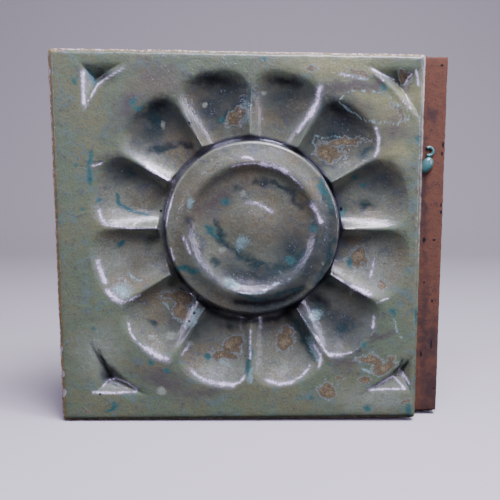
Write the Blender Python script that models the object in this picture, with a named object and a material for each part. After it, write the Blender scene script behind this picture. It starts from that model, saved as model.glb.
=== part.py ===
"""A stoneware wall tile with a twelve-petal rosette pressed into its face and an unglazed ledge at one side.

The tile stands upright: the face looks towards -Y, the back lies in the plane y = 0 and the origin is the
middle of the back. One firing made it, so it is one solid. Sizes are in metres.
"""

import math

import bmesh
import bpy
from mathutils import Vector

# The square that holds the rosette and its corner pits, and the plain borders round it
FRAME_SIDE = 0.135
LEFT_BORDER = 0.0134
RIGHT_BORDER = 0.0026
TOP_BORDER = 0.0061
BOTTOM_BORDER = 0.0121

# Thickness: the bed runs on behind the face as the ledge
BED_THICKNESS = 0.008
FACE_THICKNESS = 0.010
LEDGE_REACH = 0.011

# How far each corner strays from the true rectangle, as (sideways, upwards)
STRAY_TOP_LEFT = (-0.0011, 0.0013)
STRAY_TOP_RIGHT = (0.0, -0.0014)
STRAY_BOTTOM_RIGHT = (-0.0006, 0.0007)
STRAY_BOTTOM_LEFT = (0.0004, -0.0008)

FACE_ARRIS = 0.0012
LEDGE_ARRIS = 0.0009

# Petals: scoops in a ring round the boss, with a sharp ridge between each two, shallower towards their tips
PETALS = 12
PETAL_ANGLE = 2 * math.pi / PETALS
ROSETTE_SHIFT = (-0.0003, 0.0020)
PETAL_MARGIN = 0.0007
TIP_DROP = 0.0015
TIP_LENGTH = 0.0178
PETAL_DEPTH = 0.0058
FLOOR_RISE = 0.0026
CREST_SINK = 0.0004
# The first two shape a petal's outline, and the third how flat its floor is before the sides rise
SIDE_CURVE = 2.3
TIP_CURVE = 2.8
BOWL_CURVE = 1.4
PETAL_ROWS = 15
PETAL_COLUMNS = 12
# The rows of the sheet that cuts the petals bend to their outline, and the last two lie on either side of it
OUTLINE_PASS = 0.015
OUTLINE_PRECISION = 1e-9

# Boss: a turned knob with a raised ring, a dish and a low dome, standing in a groove
BOSS_SHIFT = (0.0009, 0.0002)
BOSS_RADIUS = 0.0364
BOSS_HEIGHT = 0.0012
BOSS_DRAFT = 0.0008
RIM_ROUNDING = 0.0012
# The ring rises to its crest over the first length and falls away to the rim over the second
RING_RADIUS = 0.0270
RING_RISE = 0.0016
RING_CLIMB = 0.0030
RING_FALL = 0.0042
DISH_DEPTH = 0.0017
DISH_CURVE = 4
DOME_RADIUS = 0.0150
DOME_RISE = 0.0012
GROOVE_WIDTH = 0.0022
GROOVE_WALL = 0.0015
GROOVE_DEPTH = 0.0060
TURNED_SIDES = 72
TURNED_ROWS = 16

# Corner pits: chip-carved hollows with two straight sides and one curved round the rosette
PIT_ARC_RADIUS = 0.0832
PIT_DEPTH = 0.0040
PIT_ARC_STEPS = 6
# Each pit's own legs along the frame, sideways and upwards, and its deepest point in from the corner
PIT_TOP_LEFT = {"legs": (0.0156, 0.0166), "deepest": (0.0052, 0.0062)}
PIT_TOP_RIGHT = {"legs": (0.0188, 0.0185), "deepest": (0.0070, 0.0072)}
PIT_BOTTOM_LEFT = {"legs": (0.0222, 0.0218), "deepest": (0.0068, 0.0056)}
PIT_BOTTOM_RIGHT = {"legs": (0.0186, 0.0114), "deepest": (0.0046, 0.0080)}

# Keying grooves in the back, for the mortar
KEY_GROOVES = 6
KEY_WIDTH = 0.0060
KEY_DEPTH = 0.0016
KEY_MARGIN = 0.0120

# How far a cutter runs past the face that it opens
PASS = 0.003

# Edges that turn by more than the first are shaded crisp, and by more than the second get an arris
CRISP_ANGLE = math.radians(35)
SQUARE_CORNER = math.radians(60)

FACE_WIDTH = LEFT_BORDER + FRAME_SIDE + RIGHT_BORDER
HEIGHT = BOTTOM_BORDER + FRAME_SIDE + TOP_BORDER
WIDTH = FACE_WIDTH + LEDGE_REACH
LEFT = -WIDTH / 2
BOTTOM = -HEIGHT / 2
FACE_RIGHT = LEFT + FACE_WIDTH
LEDGE_PLANE = -BED_THICKNESS
FACE_PLANE = -BED_THICKNESS - FACE_THICKNESS
FRAME_CENTRE = Vector((LEFT + LEFT_BORDER + FRAME_SIDE / 2, BOTTOM + BOTTOM_BORDER + FRAME_SIDE / 2))
ROSETTE_CENTRE = FRAME_CENTRE + Vector(ROSETTE_SHIFT)
BOSS_CENTRE = ROSETTE_CENTRE + Vector(BOSS_SHIFT)
GROOVE_RADIUS = BOSS_RADIUS + GROOVE_WIDTH


def clear_scene():
    for old in list(bpy.data.objects):
        bpy.data.objects.remove(old, do_unlink=True)


def new_object(name, bm):
    """The bmesh as an object of the scene, with its faces pointing out."""
    bmesh.ops.recalc_face_normals(bm, faces=bm.faces)
    mesh = bpy.data.meshes.new(name)
    bm.to_mesh(mesh)
    bm.free()
    made = bpy.data.objects.new(name, mesh)
    bpy.context.scene.collection.objects.link(made)
    return made


def helper(obj):
    """Marks a cutter or another shape that only serves a Boolean."""
    obj.hide_render = True
    obj.display_type = "WIRE"
    return obj


def boolean(target, other, operation):
    """Cuts or joins another object, and leaves the result in the target's mesh."""
    modifier = target.modifiers.new(other.name, "BOOLEAN")
    modifier.operation = operation
    modifier.solver = "EXACT"
    modifier.object = other
    graph = bpy.context.evaluated_depsgraph_get()
    result = bpy.data.meshes.new_from_object(target.evaluated_get(graph))
    target.modifiers.clear()
    target.data = result


def stray(x, z):
    """How far clay at this place lies from the true rectangle."""
    across = (x - LEFT) / WIDTH
    up = (z - BOTTOM) / HEIGHT
    low = Vector(STRAY_BOTTOM_LEFT).lerp(Vector(STRAY_BOTTOM_RIGHT), across)
    high = Vector(STRAY_TOP_LEFT).lerp(Vector(STRAY_TOP_RIGHT), across)
    return low.lerp(high, up)


def slab():
    """The bed, the ledge and the face before carving: the plan section drawn up to the tile's height."""
    section = (
        (LEFT, 0.0),
        (LEFT + WIDTH, 0.0),
        (LEFT + WIDTH, LEDGE_PLANE),
        (FACE_RIGHT, LEDGE_PLANE),
        (FACE_RIGHT, FACE_PLANE),
        (LEFT, FACE_PLANE),
    )
    bm = bmesh.new()
    foot = bm.faces.new([bm.verts.new((x, y, BOTTOM)) for x, y in section])
    drawn = bmesh.ops.extrude_face_region(bm, geom=[foot])["geom"]
    top = [part for part in drawn if isinstance(part, bmesh.types.BMVert)]
    bmesh.ops.translate(bm, verts=top, vec=(0, 0, HEIGHT))
    bmesh.ops.recalc_face_normals(bm, faces=bm.faces)
    for vert in bm.verts:
        shift = stray(vert.co.x, vert.co.z)
        vert.co += Vector((shift.x, 0, shift.y))

    def on_face(edge):
        return all(vert.co.y < FACE_PLANE + FACE_THICKNESS / 2 for vert in edge.verts)

    face_edges = [edge for edge in bm.edges if on_face(edge)]
    bmesh.ops.bevel(bm, geom=face_edges, offset=FACE_ARRIS, segments=2, profile=0.5, affect="EDGES", material=-1)
    ledge_edges = [
        edge
        for edge in bm.edges
        if edge.is_convex and edge.calc_face_angle() > SQUARE_CORNER and not on_face(edge)
    ]
    bmesh.ops.bevel(bm, geom=ledge_edges, offset=LEDGE_ARRIS, segments=1, profile=0.5, affect="EDGES", material=-1)
    return new_object("stoneware_tile", bm)


def petal_depth(along, across, reach):
    """Depth of a scoop below the face, at a distance along its axis and across it."""
    half_width = along * math.tan(PETAL_ANGLE / 2)
    side = (abs(across) / half_width) ** SIDE_CURVE
    tip = max(0.0, 1 - (reach - along) / TIP_LENGTH) ** TIP_CURVE
    outwards = min(max((along - GROOVE_RADIUS) / (reach - GROOVE_RADIUS), 0.0), 1.0)
    return (PETAL_DEPTH - FLOOR_RISE * outwards) * (1 - (side + tip) ** BOWL_CURVE) + CREST_SINK * (1 - tip)


def rosette_depth(radius, angle):
    """Depth below the face of the petals and of the groove round the boss."""
    axis = (math.floor(angle / PETAL_ANGLE) + 0.5) * PETAL_ANGLE
    groove = GROOVE_DEPTH * min(1.0, (GROOVE_RADIUS - radius) / GROOVE_WALL)
    if radius < BOSS_RADIUS:
        return groove
    reach = FRAME_SIDE / 2 - PETAL_MARGIN - TIP_DROP * math.sin(axis)
    petal = petal_depth(radius * math.cos(angle - axis), radius * math.sin(angle - axis), reach)
    return max(petal, groove)


def outline_radius(angle):
    """How far from the rosette's middle the petals end in this direction, found by halving."""
    inside, outside = GROOVE_RADIUS, FRAME_SIDE
    while outside - inside > OUTLINE_PRECISION:
        middle = (inside + outside) / 2
        if rosette_depth(middle, angle) > 0:
            inside = middle
        else:
            outside = middle
    return inside


def rosette_cutter():
    """All the scoops and the groove as one sheet, turned from a spoke, bent and closed in front of the face."""
    span = FRAME_SIDE / 2 - GROOVE_RADIUS
    shares = [row / PETAL_ROWS for row in range(PETAL_ROWS)] + [1 - OUTLINE_PASS, 1 + OUTLINE_PASS]
    spoke = [0.0, BOSS_RADIUS, GROOVE_RADIUS - GROOVE_WALL]
    spoke += [GROOVE_RADIUS + span * share for share in shares]
    bm = bmesh.new()
    verts = [bm.verts.new((radius, 0, 0)) for radius in spoke]
    for first, second in zip(verts, verts[1:]):
        bm.edges.new((first, second))
    bmesh.ops.spin(
        bm,
        geom=bm.verts[:] + bm.edges[:],
        cent=(0, 0, 0),
        axis=(0, 1, 0),
        angle=2 * math.pi,
        steps=PETALS * PETAL_COLUMNS,
        use_merge=True,
    )
    bmesh.ops.remove_doubles(bm, verts=bm.verts, dist=1e-6)
    sheet = bm.verts[:]
    for vert in sheet:
        radius = math.hypot(vert.co.x, vert.co.z)
        angle = math.atan2(vert.co.z, vert.co.x) % (2 * math.pi)
        if radius > GROOVE_RADIUS:
            share = (radius - GROOVE_RADIUS) / span
            crowding = span / (outline_radius(angle) - GROOVE_RADIUS) - 1
            followed = GROOVE_RADIUS + span * share / (1 + crowding * share)
            vert.co *= followed / radius
            radius = followed
        vert.co.y = rosette_depth(radius, angle)
    bmesh.ops.triangulate(bm, faces=bm.faces, quad_method="SHORT_EDGE")
    rim = [edge for edge in bm.edges if edge.is_boundary]
    wall = bmesh.ops.extrude_edge_only(bm, edges=rim)["geom"]
    for vert in wall:
        if isinstance(vert, bmesh.types.BMVert):
            vert.co.y = -PASS
    lid_edges = [part for part in wall if isinstance(part, bmesh.types.BMEdge) and part.is_boundary]
    bmesh.ops.contextual_create(bm, geom=lid_edges)
    bmesh.ops.translate(bm, verts=bm.verts, vec=(ROSETTE_CENTRE.x, FACE_PLANE, ROSETTE_CENTRE.y))
    return helper(new_object("rosette_cutter", bm))


def turned(name, profile):
    """A closed profile of (radius, forward) points, turned about the boss's axis."""
    bm = bmesh.new()
    ring = [bm.verts.new((radius, -forward, 0)) for radius, forward in profile]
    for first, second in zip(ring, ring[1:]):
        bm.edges.new((first, second))
    bmesh.ops.spin(
        bm,
        geom=bm.verts[:] + bm.edges[:],
        cent=(0, 0, 0),
        axis=(0, 1, 0),
        angle=2 * math.pi,
        steps=TURNED_SIDES,
        use_merge=True,
    )
    bmesh.ops.remove_doubles(bm, verts=bm.verts, dist=1e-6)
    bmesh.ops.translate(bm, verts=bm.verts, vec=(BOSS_CENTRE.x, FACE_PLANE, BOSS_CENTRE.y))
    return helper(new_object(name, bm))


def boss_top(radius):
    """Height of the boss above the face at this distance from its middle."""
    slope_length = RING_CLIMB if radius < RING_RADIUS else RING_FALL
    ring = RING_RISE * math.exp(-(((radius - RING_RADIUS) / slope_length) ** 2))
    inside = max(0.0, 1 - (radius / RING_RADIUS) ** DISH_CURVE)
    dome = 0.5 * (1 + math.cos(math.pi * min(1.0, radius / DOME_RADIUS)))
    return BOSS_HEIGHT + ring - DISH_DEPTH * inside + DOME_RISE * dome


def boss():
    """The knob, from its middle out over the rounded rim and down into the groove."""
    flat = BOSS_RADIUS - BOSS_DRAFT - RIM_ROUNDING
    rows = [flat * row / TURNED_ROWS for row in range(TURNED_ROWS + 1)]
    profile = [(radius, boss_top(radius)) for radius in rows]
    for turn in (math.radians(30), math.radians(60), math.radians(90)):
        radius = flat + RIM_ROUNDING * math.sin(turn)
        profile.append((radius, boss_top(flat) - RIM_ROUNDING * (1 - math.cos(turn))))
    profile.append((BOSS_RADIUS, -GROOVE_DEPTH - PASS / 2))
    profile.append((0, -GROOVE_DEPTH - PASS / 2))
    return turned("boss", profile)


def pit_cutter(name, side, level, pit):
    """A hollow in one corner of the frame: side and level are -1 or 1, for left or right and bottom or top."""
    corner = FRAME_CENTRE + Vector((side, level)) * (FRAME_SIDE / 2)
    inwards = Vector((-side, -level))
    leg_x, leg_z = pit["legs"]
    first = corner + Vector((inwards.x * leg_x, 0))
    last = corner + Vector((0, inwards.y * leg_z))
    chord = last - first
    sag = PIT_ARC_RADIUS - math.sqrt(PIT_ARC_RADIUS**2 - (chord.length / 2) ** 2)
    bulge = -inwards.normalized()
    mouth = [corner]
    for step in range(PIT_ARC_STEPS + 1):
        share = step / PIT_ARC_STEPS
        mouth.append(first + chord * share + bulge * sag * 4 * share * (1 - share))
    deepest = corner + Vector((inwards.x * pit["deepest"][0], inwards.y * pit["deepest"][1]))
    bm = bmesh.new()
    widen = 1 + PASS / PIT_DEPTH
    rim = [deepest + (point - deepest) * widen for point in mouth]
    lid = bm.faces.new([bm.verts.new((point.x, FACE_PLANE - PASS, point.y)) for point in rim])
    drawn = bmesh.ops.extrude_face_region(bm, geom=[lid], use_keep_orig=True)["geom"]
    floor = [part for part in drawn if isinstance(part, bmesh.types.BMVert)]
    bmesh.ops.pointmerge(bm, verts=floor, merge_co=(deepest.x, FACE_PLANE + PIT_DEPTH, deepest.y))
    return helper(new_object(name, bm))


def key_cutter(index):
    """One keying groove across the back, with sides that slope in."""
    pitch = (HEIGHT - 2 * KEY_MARGIN) / KEY_GROOVES
    height = BOTTOM + KEY_MARGIN + pitch * (index + 0.5)
    bm = bmesh.new()
    bmesh.ops.create_cube(bm, size=1)
    bmesh.ops.scale(bm, verts=bm.verts, vec=(WIDTH - 2 * KEY_MARGIN, 2 * KEY_DEPTH, KEY_WIDTH))
    for vert in bm.verts:
        if vert.co.y < 0:
            vert.co.x -= math.copysign(KEY_DEPTH, vert.co.x)
            vert.co.z -= math.copysign(KEY_DEPTH, vert.co.z)
    bmesh.ops.translate(bm, verts=bm.verts, vec=(0, 0, height))
    return helper(new_object(f"key_cutter_{index + 1}", bm))


def glazed_stoneware():
    """Grey-green reduction glaze over a red-brown body, as one finish for the whole tile."""
    material = bpy.data.materials.new("glazed_stoneware")
    material.use_nodes = True
    shader = material.node_tree.nodes["Principled BSDF"]
    shader.inputs["Base Color"].default_value = (0.13, 0.15, 0.12, 1)
    shader.inputs["Roughness"].default_value = 0.25
    shader.inputs["Metallic"].default_value = 0.0
    return material


def stoneware_tile():
    tile = slab()
    boolean(tile, rosette_cutter(), "DIFFERENCE")
    boolean(tile, boss(), "UNION")
    boolean(tile, pit_cutter("pit_top_left", -1, 1, PIT_TOP_LEFT), "DIFFERENCE")
    boolean(tile, pit_cutter("pit_top_right", 1, 1, PIT_TOP_RIGHT), "DIFFERENCE")
    boolean(tile, pit_cutter("pit_bottom_left", -1, -1, PIT_BOTTOM_LEFT), "DIFFERENCE")
    boolean(tile, pit_cutter("pit_bottom_right", 1, -1, PIT_BOTTOM_RIGHT), "DIFFERENCE")
    for index in range(KEY_GROOVES):
        boolean(tile, key_cutter(index), "DIFFERENCE")
    tile.data.materials.clear()
    tile.data.materials.append(glazed_stoneware())
    tile.data.shade_smooth()
    tile.data.set_sharp_from_angle(angle=CRISP_ANGLE)
    return tile


clear_scene()
stoneware_tile()
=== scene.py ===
"""Looks of a stoneware relief tile, built around its solids and laid out as an add-on.

The tile is one pressed piece of iron-rich stoneware. Its face carries a rosette under a pooled grey-green
glaze, and the sides, the back and the ledge at its right are bare clay. The face looks towards -Y, and the
back lies in the plane y = 0. Sizes are in metres.
"""

import math

import bmesh
import bpy
import numpy as np
from bpy.props import FloatProperty, FloatVectorProperty, IntProperty, PointerProperty
from mathutils import Matrix, Vector, noise


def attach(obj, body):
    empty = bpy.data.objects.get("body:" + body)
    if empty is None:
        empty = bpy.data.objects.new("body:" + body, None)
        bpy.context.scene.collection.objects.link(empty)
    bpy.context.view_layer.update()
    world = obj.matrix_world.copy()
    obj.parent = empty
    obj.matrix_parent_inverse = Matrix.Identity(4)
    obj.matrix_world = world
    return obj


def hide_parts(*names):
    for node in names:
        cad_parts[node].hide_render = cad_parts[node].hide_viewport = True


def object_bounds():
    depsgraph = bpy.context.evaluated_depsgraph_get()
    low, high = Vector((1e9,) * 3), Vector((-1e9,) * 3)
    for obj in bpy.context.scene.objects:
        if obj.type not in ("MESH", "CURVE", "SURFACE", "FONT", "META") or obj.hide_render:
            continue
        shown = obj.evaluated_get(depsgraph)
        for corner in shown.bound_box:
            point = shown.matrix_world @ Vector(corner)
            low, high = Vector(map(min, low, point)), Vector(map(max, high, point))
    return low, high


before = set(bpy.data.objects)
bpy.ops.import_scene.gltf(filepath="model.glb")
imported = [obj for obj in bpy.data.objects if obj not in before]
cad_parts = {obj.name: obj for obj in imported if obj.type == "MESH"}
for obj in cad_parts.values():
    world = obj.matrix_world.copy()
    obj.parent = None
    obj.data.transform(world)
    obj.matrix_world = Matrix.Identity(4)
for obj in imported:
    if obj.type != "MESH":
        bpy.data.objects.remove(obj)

bl_info = {
    "name": "Stoneware Relief Tile",
    "version": (1, 0, 0),
    "blender": (4, 5, 0),
    "location": "View3D > Sidebar > Tile",
    "description": "Builds a glazed stoneware tile with a rosette, and its stage",
    "category": "Add Mesh",
}

CAD_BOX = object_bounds()
NODE = "stoneware_tile"
MM = 0.001
FULL_TURN = 2 * math.pi

# How the photograph was taken, as fitted to the tile's corners
PHOTO_SIDE = 500
LENS_MM = 57.96
SENSOR_MM = 36.0
CAMERA_PLACE = Vector((-0.0008, -0.3469, 0.0401))
CAMERA_PITCH = math.radians(7.6)

# The studio paper: half its width, its ends, the radius of its bend, its height, and its gap below the tile
PAPER_HALF_WIDTH = 1.8
PAPER_FRONT = -1.6
PAPER_BACK = 0.9
PAPER_BEND = 0.4
PAPER_HEIGHT = 1.6
FLOOR_GAP = 0.2 * MM

# The light all round: where it starts to grow and where it is full, as heights in the sky from -1 to 1, and
# its least strength
SKY_START = -0.05
SKY_FULL = 0.4
SKY_LEAST = 0.02

# Vertices on each ring of the front: round the rosette, on the boss, and in the middle of the boss
ROSETTE_COLUMNS = 480
BOSS_COLUMNS = 240
MIDDLE_COLUMNS = 48

# How often the search for an outline is halved
HALVINGS = 40

# Rings on the side of the boss, in the groove as shares of its width, and on the petals
BOSS_SIDE_RINGS = 7
GROOVE_RINGS = (0.15, 0.3, 0.5, 0.7, 0.85, 1)
PETAL_RINGS = 40

# Rings on the plain face, which lie further apart outwards by this power. They end just short of the worn
# slope along its edge, whose own rings lie at these shares of its width
FACE_RINGS = 19
FACE_SPREAD = 1.4
ARRIS_START = 1.25
ARRIS_RINGS = (1.0, 0.8, 0.6, 0.4, 0.2, 0.0)

# The two inner sheets of rings, on the boss and in its middle: how many rings each has, and where it starts
# and ends. The loops of edges that are this near the middle of a gap between two sheets are bridged
BOSS_RINGS = 30
BOSS_SHEET_START = 8.2 * MM
SHOULDER_GAP = 0.8 * MM
MIDDLE_RINGS = 9
MIDDLE_SHEET_START = 0.5 * MM
MIDDLE_SHEET_END = 7.6 * MM
BRIDGE_REACH = 0.6 * MM

# The longest edges that are left in the front sheet: in the pits and this near them, this near the rim, and
# elsewhere. The longer ones are halved this many times
PIT_EDGE = 0.7 * MM
PIT_SLACK = 0.8 * MM
RIM_EDGE = 1.1 * MM
RIM_REACH = 2.5 * MM
FACE_EDGE = 1.5 * MM
CUTTING_ROUNDS = 3

# Rows of vertices down the face's walls, out over the ledge and down the bed, and the grid of the back, which
# ends this far inside the outline
WALL_ROWS = 7
LEDGE_ROWS = 18
BED_ROWS = 5
BACK_COLUMNS = 78
BACK_ROWS = 74
BACK_MARGIN = 3.0 * MM

# Steps round an edge of the clay, the boss's rim and the paper's bend, and the bend past which an edge is
# shaded as sharp, in degrees
ROUND_STEPS = (30, 60, 90)
BOSS_RIM_STEPS = range(0, 90, 12)
PAPER_STEPS = range(10, 91, 10)
SHARP_ANGLE = 60

# Places this close, in metres, are the same
HAIR = 1e-6

# Unevenness of hand work: the size of its features, where in the noise it is read, and its detail
UNEVENNESS = {
    "swell": (11.0 * MM, 3.1, 2),
    "ripple": (3.4 * MM, 7.7, 2),
    "wander": (9.0 * MM, 1.3, 2),
    "chipping": (1.7 * MM, 5.9, 3),
    "glaze_foot": (4.0 * MM, 9.4, 2),
    "marks_across": (4.5 * MM, 2.9, 3),
    "marks_down": (4.5 * MM, 8.3, 3),
}

# How strong the ripples are beside the swell
RIPPLE_SHARE = 0.45

# The cut edges, as shares of their wander: how far in they lie on the whole, how far they wander slowly, how
# far they are chipped, and how much of this each side has
WANDER_INSET = 0.45
WANDER_SHARE = 0.35
CHIPPING_SHARE = 0.55
SIDE_WANDER = {"left": 1.0, "right": 0.6, "bottom": 0.7, "top": 1.2}

# Over what distance from an edge its wander fades, and where it ends
WANDER_FADE = 1.6 * MM
WANDER_REACH = 4.0 * MM


def from_hex(code):
    """An sRGB colour such as 7d8a72 as linear red, green, blue and alpha."""
    channels = [int(code[start : start + 2], 16) / 255 for start in (0, 2, 4)]
    return (*[c / 12.92 if c <= 0.04045 else ((c + 0.055) / 1.055) ** 2.4 for c in channels], 1.0)


def length(name, description, millimetres):
    """A size property, given in millimetres and held in metres."""
    return FloatProperty(
        name=name, description=description, default=millimetres * MM, unit="LENGTH", precision=5
    )


def power(name, description, watts):
    """A light's power."""
    return FloatProperty(name=name, description=description, default=watts, unit="POWER")


def colour(name, description, code):
    """A colour property with an sRGB default."""
    return FloatVectorProperty(
        name=name, description=description, default=from_hex(code), size=4, min=0, max=1, subtype="COLOR"
    )


class TileSlabSettings(bpy.types.PropertyGroup):
    """Outline, thickness and edges of the pressed slab."""

    frame_side: length("Frame side", "Side of the square that holds the rosette and its corner pits", 135.0)
    left_border: length("Left border", "Plain face left of the square", 13.4)
    right_border: length("Right border", "Plain face right of the square", 2.6)
    top_border: length("Top border", "Plain face above the square", 6.1)
    bottom_border: length("Bottom border", "Plain face below the square", 12.1)
    bed_thickness: length("Bed thickness", "Clay behind the ledge's face", 8.0)
    face_thickness: length("Face thickness", "Step from the ledge up to the glazed face", 10.0)
    ledge_reach: length("Ledge reach", "How far the bare ledge runs on past the face", 11.0)
    face_arris: length("Face arris", "Width of the worn slope along the glazed edge", 1.6)
    ledge_arris: length("Ledge arris", "Rounding of the bare clay edges", 0.9)
    corner_rounding: length("Corner rounding", "Rounding of the face's corners, seen from the front", 1.3)
    edge_wander: length("Edge wander", "How far the hand-cut edges wander inwards", 0.45)
    undulation: length("Undulation", "Unevenness of the hand-pressed face", 0.11)
    key_grooves: IntProperty(name="Keying grooves", description="Grooves across the back", default=6, min=0)
    key_width: length("Keying width", "Width of a groove across the back", 6.0)
    key_depth: length("Keying depth", "Depth of a groove across the back", 1.6)
    key_margin: length("Keying margin", "Plain clay round the field of grooves", 12.0)


class TileCarvingSettings(bpy.types.PropertyGroup):
    """The rosette, the boss in its middle and the pits in the corners."""

    petals: IntProperty(name="Petals", description="Scoops round the boss", default=12, min=3)
    petal_depth: length("Petal depth", "Depth of a scoop beside the boss", 5.8)
    floor_rise: length("Floor rise", "How much shallower a scoop's floor gets towards its tip", 2.6)
    petal_margin: length("Petal margin", "Gap from a petal's tip to the square", 0.7)
    tip_drop: length("Tip drop", "How much shorter the upper petals are than the lower ones", 1.5)
    tip_length: length("Tip length", "Length over which a scoop rises to its tip", 17.8)
    crest_sink: length("Crest sink", "How far the ridges lie below the face", 0.2)
    ridge_rounding: length("Ridge rounding", "Glaze rounding on the ridges", 0.45)
    rim_softness: length("Rim softness", "Glaze rounding where carving meets the plain face", 0.8)
    boss_radius: length("Boss radius", "Radius of the boss at its foot", 36.4)
    boss_height: length("Boss height", "Height of the boss above the face", 1.2)
    boss_draft: length("Boss draft", "How far the side of the boss leans in", 0.8)
    boss_rounding: length("Boss rounding", "Rounding of the boss's rim", 1.2)
    ring_radius: length("Ring radius", "Radius of the raised ring on the boss", 27.0)
    ring_rise: length("Ring rise", "Height of the raised ring", 1.6)
    ring_climb: length("Ring climb", "Reach of the ring's inner slope", 3.0)
    ring_fall: length("Ring fall", "Reach of the ring's outer slope", 4.2)
    dish_depth: length("Dish depth", "Depth of the dish inside the ring", 1.7)
    dome_radius: length("Dome radius", "Radius of the low dome in the dish", 15.0)
    dome_rise: length("Dome rise", "Height of the low dome", 1.2)
    groove_width: length("Groove width", "Width of the groove round the boss", 2.2)
    groove_wall: length("Groove wall", "Width of the groove's sloping outer side", 1.1)
    groove_depth: length("Groove depth", "Depth of the groove round the boss", 6.0)
    pit_depth: length("Pit depth", "Depth of the corner pits", 4.0)
    pit_arc: length("Pit arc", "Radius of the pits' curved side", 83.2)
    bead_rise: length("Bead rise", "Height of the lip along the upper right pit", 0.5)
    bead_width: length("Bead width", "Width of the lip along the upper right pit", 1.8)


class TileFinishSettings(bpy.types.PropertyGroup):
    """Colours of the glaze and of the clay under it."""

    sage: colour("Sage glaze", "Glaze where it lies thin and flat", "6b7c5c")
    sage_warm: colour("Warm sage glaze", "Yellower clouds in the thin glaze", "767c59")
    sage_cool: colour("Cool sage glaze", "Bluer clouds in the thin glaze", "687e6f")
    sage_green: colour("Green sage glaze", "Greener streaks in the thin glaze", "6f8460")
    sage_dark: colour("Dark sage glaze", "Specks in the thin glaze", "555e4d")
    break_tone: colour("Breaking glaze", "Tan line where the glaze thins over the petal rims", "8b8870")
    olive: colour("Olive glaze", "Yellower glaze towards the upper right", "8c9162")
    pewter: colour("Pewter glaze", "Glaze pooled in the petals and on the boss", "768068")
    pewter_warm: colour("Warm pewter glaze", "Browner clouds in the pooled glaze", "7c7a5d")
    pewter_cool: colour("Cool pewter glaze", "Bluer clouds in the pooled glaze", "646e69")
    plum: colour("Plum stain", "Iron stain outside the petals", "59544f")
    # Slate is partly the dark pooled glaze and partly painted shade on down-facing slopes and on the boss's
    # lower inner slopes.
    slate: colour("Slate pool", "Thick, dark glaze in the petals and on the boss", "384240")
    deep: colour("Deep glaze", "Thick glaze in the groove round the boss", "4b4f54")
    ochre: colour("Ochre glaze", "Thin glaze breaking over edges", "94804a")
    umber: colour("Umber stain", "Olive-brown stain in the pooled glaze", "6c6c54")
    # Painted shade: near-black where the surface faces away from the light, under the boss and in the pits.
    ink: colour("Inky glaze", "Nearly black glaze where it ran together deepest", "15191a")
    rust: colour("Rust patch", "Iron bloom in the glaze", "6c6449")
    straw: colour("Straw streaks", "Lighter streaks in a rust patch", "8b835f")
    rust_rim: colour("Rust patch rim", "Milky line round a rust patch", "86978d")
    # These two colours paint highlights: a soft lilac glow and a white core where rims, ridges and the boss
    # catch the light.
    painted_highlight_glow: colour("Rim glow", "Thin lilac milk beside the milky rims", "9d9ba6")
    painted_highlight: colour("Milky rim", "Milky glaze where a petal or pit ends in a sharp rim", "f2eef4")
    turquoise: colour("Turquoise spot", "Copper spots", "3b6a62")
    teal: colour("Teal stain", "Dark copper and cobalt stains", "24403e")
    milky: colour("Milky patch", "Pale blue patches where the glaze is thick", "86a69c")
    # Pale also paints the lighter patches of painted light.
    pale: colour("Pale spot", "Round milky spots", "8f9b84")
    # Pale chips with painted glints on them; this colour also paints the highlight line along the right edge.
    chip: colour("Chipped edge", "Pale ground glaze where the edge has chipped", "c4bdb0")
    pinhole: colour("Pinhole", "Burst bubbles in the glaze", "0c0d10")
    clay: colour("Fired clay", "Iron-rich body, fired red-brown", "704a32")
    # Besides flashing, this colour paints shade on the ledge along the foot of the face's wall.
    clay_dark_and_shade: colour("Dark clay", "Body darkened by flashing beside the glaze", "45322b")


class TileDripSettings(bpy.types.PropertyGroup):
    """The hook and the drop of glaze on the ledge."""

    hook_place: FloatVectorProperty(
        name="Hook place", description="Middle of the hook", default=(0.0740, -0.0083, 0.0364), unit="LENGTH"
    )
    hook_radius: length("Hook radius", "Radius of the hook's line", 1.65)
    hook_thickness: length("Hook thickness", "Thickness of the hook's run of glaze", 1.4)
    drop_place: FloatVectorProperty(
        name="Drop place", description="Middle of the drop", default=(0.0738, -0.0085, 0.0307), unit="LENGTH"
    )
    drop_size: FloatVectorProperty(
        name="Drop size",
        description="Width, bulge and height of the drop",
        default=(0.0050, 0.0034, 0.0068),
        unit="LENGTH",
    )
    drip_colour: colour("Drip colour", "Thick copper glaze", "4c8378")


class TileStageSettings(bpy.types.PropertyGroup):
    """Floor and light."""

    floor_colour: colour("Floor colour", "Pale studio paper", "d8d6d0")
    light_colour: colour("Light colour", "Cool daylight through the softbox", "eee9ff")
    window_colour: colour("Window colour", "Violet tinge of the windows that the glaze mirrors", "dccfff")
    top_light: power("Top light", "Power of the overhead softbox", 9.0)
    high_light: power("High light", "Power of the high window", 4.0)
    left_light: power("Left light", "Power of the left strip", 1.2)
    right_light: power("Right light", "Power of the right strip", 2.6)
    front_light: power("Front light", "Power of the small window", 0.4)
    ambient: FloatProperty(name="Ambient", description="Strength of the light from above", default=0.05)


class StonewareTileSettings(bpy.types.PropertyGroup):
    """All that a user would change."""

    slab: PointerProperty(type=TileSlabSettings)
    carving: PointerProperty(type=TileCarvingSettings)
    finish: PointerProperty(type=TileFinishSettings)
    drips: PointerProperty(type=TileDripSettings)
    stage: PointerProperty(type=TileStageSettings)


# How far each corner strays from the true rectangle, sideways and upwards
STRAY_TOP_LEFT = Vector((-0.0011, 0.0013))
STRAY_TOP_RIGHT = Vector((0.0, -0.0014))
STRAY_BOTTOM_RIGHT = Vector((-0.0006, 0.0007))
STRAY_BOTTOM_LEFT = Vector((0.0004, -0.0008))

# How far the rosette's middle lies from the square's, and the boss's from the rosette's
ROSETTE_SHIFT = Vector((-0.0003, 0.0020))
BOSS_SHIFT = Vector((0.0009, 0.0002))

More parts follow.
